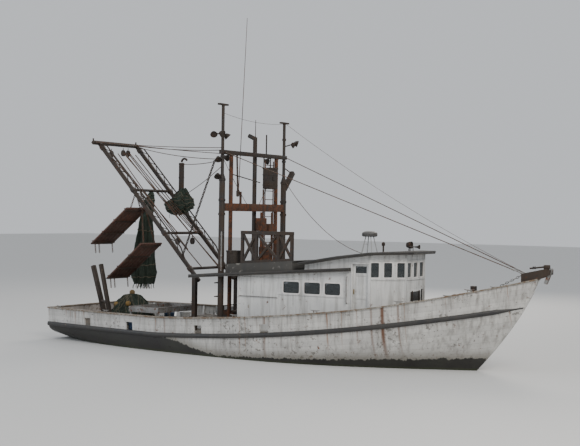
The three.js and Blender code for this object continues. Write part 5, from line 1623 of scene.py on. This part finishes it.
def bunch_tails():
    """Ragged ends under the bunch: they fall plumb and curl by sines of the drop."""
    parts = []
    for k in range(16):
        top = bunch_at(np.array(0.12), np.array(TAU * k / 16 + 0.2 * chance.random()), 0.9)
        drop = np.linspace(0, 0.05 + 0.14 * chance.random(), 9)
        x, y = 0.03 * (np.sin(14 * drop + k) - math.sin(k)), 0.02 * (np.cos(11 * drop + k) - math.cos(k))
        parts += [tube(top + xyz(x, y, -drop), 0.009, 5, slot=2)]
    return parts


def make_boom_net():
    """The bunch of net on the boom: a body, netting, lashings and ragged ends."""
    parts = [body_of(bunch_at, 34, 72)] + netting(bunch_at, 30, 1.6, 30) + bunch_lashings() + bunch_tails()
    build("boom_net_bunch", parts, [NET, ROPE, TWINE], "boom", sharp=60)


def slack_twine():
    """Slack twine down the hung net: each line starts near its share of a turn and drifts evenly."""
    parts = []
    s = np.linspace(0.02, 1, 44)
    for k in range(18):
        angle = TAU * k / 18 + chance.normal(0, 0.05) + 0.5 * math.sin(k * 1.7) * s
        parts += [tube(bundle_at(s, angle, 1.03 + 0.03 * math.sin(k)), 0.009, 5)]
    return parts


def net_lashings():
    """Ropes round the hung net, lifted and lowered by a sine of the angle."""
    t = TAU * np.arange(40) / 40
    parts = []
    for level in (0.1, 0.24, 0.5, 0.76, 0.9):
        ring = bundle_at(np.full(40, level), t, 1.05)
        ring[:, 2] += 0.03 * np.sin(t + level * 9)
        parts += [tube(ring, 0.015, 6, True, 1)]
    return parts


def net_tails():
    """Loose ends under the hung net in three rings: they fall, lean out and curl by a sine."""
    parts = []
    for k in range(72):
        angle, out = TAU * k / 24 + 0.1 * chance.random(), 0.95 - 0.3 * (k % 3)
        drop = np.linspace(0, 0.1 + 0.14 * chance.random(), 8)
        top = bundle_at(np.array(0.985), np.array(angle), out)
        x, y = 0.2 * math.cos(angle) * drop + 0.012 * np.sin(30 * drop), 0.2 * math.sin(angle) * drop
        parts += [tube(top + xyz(x, y, -drop), 0.012, 5, slot=1 + k % 2)]
    return parts


def make_hung_net():
    """The hung net: a body, netting, slack twine, lashings, loose ends and the ring that it hangs from."""
    parts = [body_of(bundle_at, 74, 96)] + netting(bundle_at, 40, 2.2, 46) + slack_twine() + net_lashings()
    ring = lathe([[0.1, -0.03], [0.13, 0], [0.1, 0.03], [0.08, 0]], (HANG_X, -0.02, HANG_Z - 0.16), 2, 16)
    parts += net_tails() + [ring]
    build("hung_net", parts, [NET, ROPE, TWINE], "hung_gear", ["net_bundle"], 60)


def make_net_heap():
    """The heap of net: a body, netting, loose rope in loops and a few dull floats."""
    parts = [body_of(heap_at, 60, 110)] + netting(heap_at, 48, 1.7, 44)
    s = np.linspace(0, 1, 50)
    for k in range(30):
        level = 0.05 + 0.9 * (0.5 + 0.5 * np.sin(TAU * (s * (1.2 + 0.3 * math.sin(k)) + k * 0.17)))
        around = TAU * (s * (0.25 + 0.4 * chance.random()) + chance.random())
        parts += [tube(heap_at(level, around, 1.035), 0.01, 5, slot=int(k % 3 == 0))]
    one = lathe(both_ends([[0.001, 0.1], [0.06, 0.085], [0.1, 0.03]]), sides=14, slot=3)
    floats = one.copied([(-5.45, -1.02, 1.36), (-5.98, -1.05, 1.3), (-5.72, -0.5, 1.72)])
    build("net_heap", parts + [floats], [NET, ROPE, TWINE, FLOAT_YELLOW], replaces=["net_pile"],
          sharp=60)


# Trawl boards

BOARD_SIDE, BOARD_WIDE, BOARD_PLANKS = -1.6, 1.15, 6


def board_irons(p, q, way, out):
    """Straps over both faces of a board, bolts on the upper one, and a shoe along its foot."""
    bolt = lathe([[0.001, 0.0], [0.018, 0.004], [0.018, 0.012], [0.001, 0.02]], sides=8, slot=1)
    bolts = np.arange(-1.52, -0.5, 0.19)[:, None] * [0, 1, 0]
    turns = np.broadcast_to(xyz(way, np.cross(out, way), out), (len(bolts), 3, 3))
    near, far = np.array([0, BOARD_SIDE, 0]), np.array([0, BOARD_SIDE + BOARD_WIDE, 0])
    parts = []
    for share in (0.06, 0.36, 0.68, 0.95):
        middle = p + (q - p) * share
        for s in (-1, 1):
            face = middle + out * s * 0.03
            parts += [beam(face + near, face + far, 0.012, 0.075, 0.003, way, 1)]
        parts += [bolt.copied(middle + out * 0.03 + bolts, turns)]
    foot = q - way * 0.02
    return parts + [beam(foot + near, foot + far, 0.07, 0.05, 0.008, way, 1)]


def board_chains(p, q, out, shackle_y):
    """Two chains from a board up to its shackle, and three from its foot."""
    shackle = np.array([HANG_X, shackle_y, HANG_Z - 0.06])
    high, low = p + (q - p) * 0.08 + out * 0.04, p + (q - p) * 0.93
    parts = [chain(high + [0, y, 0], shackle, 0.085, 0.012, 0.02, 2) for y in (-1.35, -0.7)]
    for y in (-1.5, -1.3, -0.6):
        parts += [chain(low - out * 0.03 + [0, y, 0], low + [0.03, y, -0.42], 0.075, 0.01, 0.0, 2)]
    return parts + [lathe([[0.04, -0.012], [0.06, 0], [0.04, 0.012], [0.03, 0]], shackle, 1, 14, 2)]


def make_board(name, head, foot, shackle_y):
    """A trawl board: rounded planks along it, its irons and its chains."""
    p, q = np.array(head), np.array(foot)
    way = unit(q - p)
    out = np.array([-way[2], 0, way[0]])
    pitch = BOARD_WIDE / BOARD_PLANKS
    parts = []
    for y in BOARD_SIDE + pitch * (np.arange(BOARD_PLANKS) + 0.5):
        a, b = p + way * 0.02 + [0, y, 0], q - way * 0.02 + [0, y, 0]
        parts += [beam(a, b, pitch - 0.006, 0.056, 0.008)]
    parts += board_irons(p, q, way, out) + board_chains(p, q, out, shackle_y)
    build(f"{name}_planked", parts, [BOARD_WOOD, STEEL, WIRE], "hung_gear", [name])


# Winches

WINCH_X, WINCH_Z = -1.25, 1.08
WINDLASS_X, WINDLASS_Z = 6.9, 2.09


def wound(x, z, y0, y1, radius, wire):
    """Rope laid on a drum: a helix about Y from one flange to the other."""
    pitch = wire * 2.04
    return tube(coil((x, y0, z), radius, pitch, (y1 - y0) / pitch, 1, 16), wire, 6, slot=1)


def make_winch_barrels():
    """Winch drums: three flanges on a turned core, and three layers of wire."""
    flange = [[0.19, 0.018], [0.29, 0.015], [0.299, 0.006]]
    core = [[0.036, 0.759], [0.036, 0.74], [0.18, 0.735]]
    parts = [lathe(both_ends(flange), (WINCH_X, y, WINCH_Z), 1, 36) for y in (-0.72, 0.0, 0.72)]
    parts += [lathe(both_ends(core), (WINCH_X, 0, WINCH_Z), 1, 28)]
    for y0, y1 in ((-0.69, -0.03), (0.03, 0.69)):
        for near, far, radius in ((0, 0, 0.2), (0.02, 0.06, 0.221), (0.05, 0.12, 0.242)):
            parts += [wound(WINCH_X, WINCH_Z, y0 + near, y1 - far, radius, 0.012)]
    build("winch_barrels", parts, [RUSTY, WIRE], "winch_drums", ["winch_drums"])


def make_windlass_barrel():
    """The windlass drum: a turned core with two flanges, and two layers of rope."""
    half = [[0.036, 0.259], [0.036, 0.235], [0.19, 0.23], [0.199, 0.215], [0.19, 0.2], [0.1, 0.19]]
    parts = [lathe(both_ends(half), (WINDLASS_X, 0, WINDLASS_Z), 1, 28)]
    for y0, y1, radius in ((-0.17, 0.17, 0.118), (-0.15, 0.1, 0.148)):
        parts += [wound(WINDLASS_X, WINDLASS_Z, y0, y1, radius, 0.016)]
    build("windlass_barrel", parts, [RUSTY, ROPE], "windlass_drum", ["windlass_drum"])


def make_winch_guards():
    """Collars at the shaft's ends, a rail abaft the winch, and two levers."""
    collar = [[0.05, -0.06], [0.12, -0.05], [0.12, 0.03], [0.05, 0.04]]
    knob = [[0.001, -0.03], [0.025, 0], [0.001, 0.03]]
    parts = [lathe(collar, (WINCH_X, y, WINCH_Z), 1, 20) for y in (-0.8295, 0.8295)]
    parts += [rod((-1.52, y, 0.74), (-1.52, y, 1.5), 0.02, 8) for y in (-0.6, 0.6)]
    parts += [rod((-1.52, -0.62, 1.48), (-1.52, 0.62, 1.48), 0.018, 8)]
    for y in (-0.4, 0.35):
        parts += [rod((-1.5, y, 0.75), (-1.66, y, 1.35), 0.013, 8), lathe(knob, (-1.66, y, 1.37), 2, 10)]
    build("winch_guards", parts, STEEL)


# Deck gear

# Fish boxes: station, side, height over the deck, finish; baskets: station, side, finish
FISH_BOXES = ((-3.1, 1.7, 0, 0), (-3.1, 1.7, 0.31, 0), (-3.95, -2.15, 0, 1), (-2.35, 1.75, 0, 0),
              (-3.2, -2.12, 0, 0))
BASKETS = ((-4.6, 1.2, 2), (-4.95, 0.7, 1), (-6.9, 0.3, 2))
BESIDE_HOUSE = -0.2
CLEATS = np.array([-7.6, -5.2, -2.6, 0.4, 3.2, 5.6, 7.4])
LID_Z = 0.975


def planked_top(x):
    """Height of the deck planks' top."""
    return deck_top(x) + 0.012


def tub(x, y, z, slot, half_x=0.31, half_y=0.2, tall=0.3, wall=0.018):
    """A fish box: a floor and four rounded walls."""
    x0, x1, y0, y1 = x - half_x, x + half_x, y - half_y, y + half_y
    sides = ((x0, x1, y0, y0 + wall), (x0, x1, y1 - wall, y1), (x0, x0 + wall, y0, y1),
             (x1 - wall, x1, y0, y1))
    walls = [slab(*side, z, z + tall, slot=slot) for side in sides]
    return [slab(x0, x1, y0, y1, z, z + wall, 0.004, slot)] + walls


def make_fish_boxes():
    """Fish boxes and round baskets, each standing at the deck's height."""
    basket = [[0.001, 0], [0.16, 0], [0.2, 0.34], [0.215, 0.36], [0.2, 0.37], [0.185, 0.34], [0.15, 0.02],
              [0.001, 0.02]]
    parts = []
    for x, y, rise, slot in FISH_BOXES:
        parts += tub(x, y, planked_top(x) + rise, slot)
    parts += [lathe(basket, (x, y, planked_top(x)), slot=slot) for x, y, slot in BASKETS]
    build("fish_boxes", parts, [PLASTIC_GREY, PLASTIC_BLUE, PLASTIC_WHITE])


def make_gas_bottles():
    """Two gas bottles abaft the house, held by a frame of thin rods."""
    z, x, sides = planked_top(BESIDE_HOUSE), -0.285, (0.98, 1.53)
    bottle = [[0.001, 0], [0.105, 0.004], [0.118, 0.03], [0.118, 0.82], [0.1, 0.9], [0.05, 0.95],
              [0.045, 0.99], [0.075, 1.0], [0.075, 1.11], [0.06, 1.12], [0.001, 1.12]]
    parts = [lathe(bottle).copied([(-0.16, 1.12, z), (-0.16, 1.39, z)])]
    parts += [rod((x, sides[0], z + rise), (x, sides[1], z + rise), 0.008, 8, 1) for rise in (0.3, 0.7)]
    for rise in (0.3, 0.7):
        parts += [rod((x, y, z + rise), (0.01, y, z + rise), 0.008, 8, 1) for y in sides]
    build("gas_bottles", parts, [IRON, STEEL])


def make_deck_locker():
    """A locker abaft the house: a box, a lid, two battens and two feet."""
    z = planked_top(BESIDE_HOUSE)
    parts = [slab(-0.44, -0.04, -1.72, -1.16, z + 0.04, z + 0.5, 0.012),
             slab(-0.46, -0.02, -1.74, -1.14, z + 0.49, z + 0.53, 0.014)]
    parts += [slab(-0.46, -0.435, y, y + 0.06, z + 0.06, z + 0.49) for y in (-1.66, -1.28)]
    parts += [slab(-0.42, -0.06, y, y + 0.06, z, z + 0.05) for y in (-1.7, -1.24)]
    build("deck_locker", parts, DARK_WOOD)


def make_stern_timbers():
    """Two square posts that lean aft, with a bar between them."""
    parts = [beam((-6.48, -1, 0.56), (-7.18, -1, 2.66), 0.15, 0.15, 0.02),
             beam((-5.73, -1.55, 0.56), (-6.3, -1.55, 2.76), 0.13, 0.13, 0.02),
             rod((-5.96, -1.55, 1.4), (-6.76, -1.0, 1.4), 0.038, 12, 1)]
    build("stern_timbers", parts, [DARK_WOOD, STEEL], replaces=["stern_posts"])


def make_cleats():
    """Cleats that follow the cap rail: a tapered bar, raised at its ends by a parabola, on two feet."""
    t = np.linspace(-1, 1, 9)
    taper = [0.5, 0.8, 1, 1.1, 1.15, 1.1, 1, 0.8, 0.5]
    horn = tube(xyz(0.15 * t, 0 * t, 0.055 + 0.02 * t ** 2), 0.016, scale=taper)
    feet = [slab(x - 0.014, x + 0.014, -0.014, 0.014, 0.0, 0.05, 0.004) for x in (-0.05, 0.05)]
    top = bulwark_top(CLEATS)
    x, y = side_point(CLEATS, top)
    y = y - 0.035
    angle = np.arctan2(np.gradient(y), np.gradient(CLEATS))
    turns = np.zeros((len(CLEATS), 3, 3))
    turns[:, 0, 0] = turns[:, 1, 1] = np.cos(angle)
    turns[:, 0, 1], turns[:, 1, 0], turns[:, 2, 2] = -np.sin(angle), np.sin(angle), 1
    parts = [part.copied(xyz(x, y, top + 0.044), turns) for part in [horn] + feet]
    build("rail_cleats", mirrored_pair(parts), ZINC)


def make_anchor_chain():
    """Anchor chain from the windlass to the bow roller."""
    crest = (8.1, 0, deck_top(8.0) + 0.68)
    parts = [chain((7.05, 0, 1.99), crest, 0.09, 0.012), chain(crest, (9, 0, 2.98), 0.09, 0.012)]
    build("anchor_chain", parts, ZINC)


def make_anchor_stock():
    """The anchor's shank before the roller, its rounded head, and two crossed pins."""
    parts = [rod((9.17, 0, 3.15), (9.68, 0, 3.22), 0.026, 12), slab(9.6, 9.78, -0.06, 0.06, 3.14, 3.27, 0.02)]
    parts += [rod((9.3, s * 0.09, 3.14), (9.3, -s * 0.09, 3.21), 0.014, 8) for s in (-1, 1)]
    build("anchor_stock", parts, STEEL)


def make_hatch_boards():
    """The hatch lid: boards under two iron straps, and two lifting rings that lie on it."""
    parts = [slab(-3.066, -2.024, y + 0.003, y + 0.145, LID_Z + 0.004, LID_Z + 0.05)
             for y in np.arange(-0.525, 0.5, 0.15)]
    parts += [slab(x, x + 0.08, -0.52, 0.52, LID_Z + 0.04, LID_Z + 0.056, 0.005, 1) for x in (-2.95, -2.2)]
    t = TAU * np.arange(18) / 18
    for y in (-0.3, 0.3):
        ring = xyz(-2.55 + 0.06 * np.cos(t), y + 0.06 * np.sin(t), 0 * t + LID_Z + 0.053)
        parts += [tube(ring, 0.006, 6, True, 1)]
    build("hatch_boards", parts, [DECK_WOOD, STEEL], "hatch_lid", ["hatch_lid"])


# The boat

def dress(look, *names):
    """Gives nodes of the frame a finish."""
    for name in names:
        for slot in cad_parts[name].material_slots:
            slot.material = look


make_camera()
make_floor()
make_lights()
make_hull()
make_transom()
make_stem()
make_bulwarks()
make_timberheads()
make_cap_rails()
make_rub_rails()
make_transom_bulwark()
make_deck()
make_windows()
make_trim()
make_front_hatch()
make_wheelhouse_doors()
make_aft_door()
make_eaves()
make_wheelhouse_roof()
make_horns()
make_platform()
make_roof_locker()
make_radar()
make_helm_wheel()
make_helm_instruments()
make_masts()
make_gantry_bar()
make_gantry_frame()
make_conduit()
make_turnbuckles()
make_aerials()
make_boom_rails()
make_blocks()
make_falls()
make_boom_net()
make_topping_wires()
make_hung_net()
make_board("trawl_door_upper", (-5.06, 0, 4.8), (-6.75, 0, 3.48), -0.88)
make_board("trawl_door_lower", (-4.38, 0, 3.56), (-5.98, 0, 2.26), -0.6)
make_net_heap()
make_winch_barrels()
make_windlass_barrel()
make_winch_guards()
make_fish_boxes()
make_gas_bottles()
make_deck_locker()
make_stern_timbers()
make_cleats()
make_anchor_chain()
make_anchor_stock()
make_hatch_boards()
dress(HOUSE_WHITE, "deckhouse_side_starboard", "deckhouse_side_port", "wheelhouse_front",
      "deckhouse_aft_wall", "hatch_coaming")
dress(ROOF, "deckhouse_roof", "roof_platform")
dress(BOTTOM, "keel", "rudder")
dress(BRONZE, "propeller")
dress(IRON, "engine")
dress(WOOD, "helm_console")
dress(STEEL, "roof_rail_starboard", "boom_post_starboard", "boom_post_port", "boom_bar_1", "boom_bar_2",
      "boom_bar_3", "boom_bar_4", "winch_frame", "windlass_frame", "bow_roller", "exhaust_stack")
dress(RUSTY, "whip_antenna")
dress(ZINC, "sorting_tray", "anchor")
dress(WIRE, "forestay_starboard", "forestay_port")
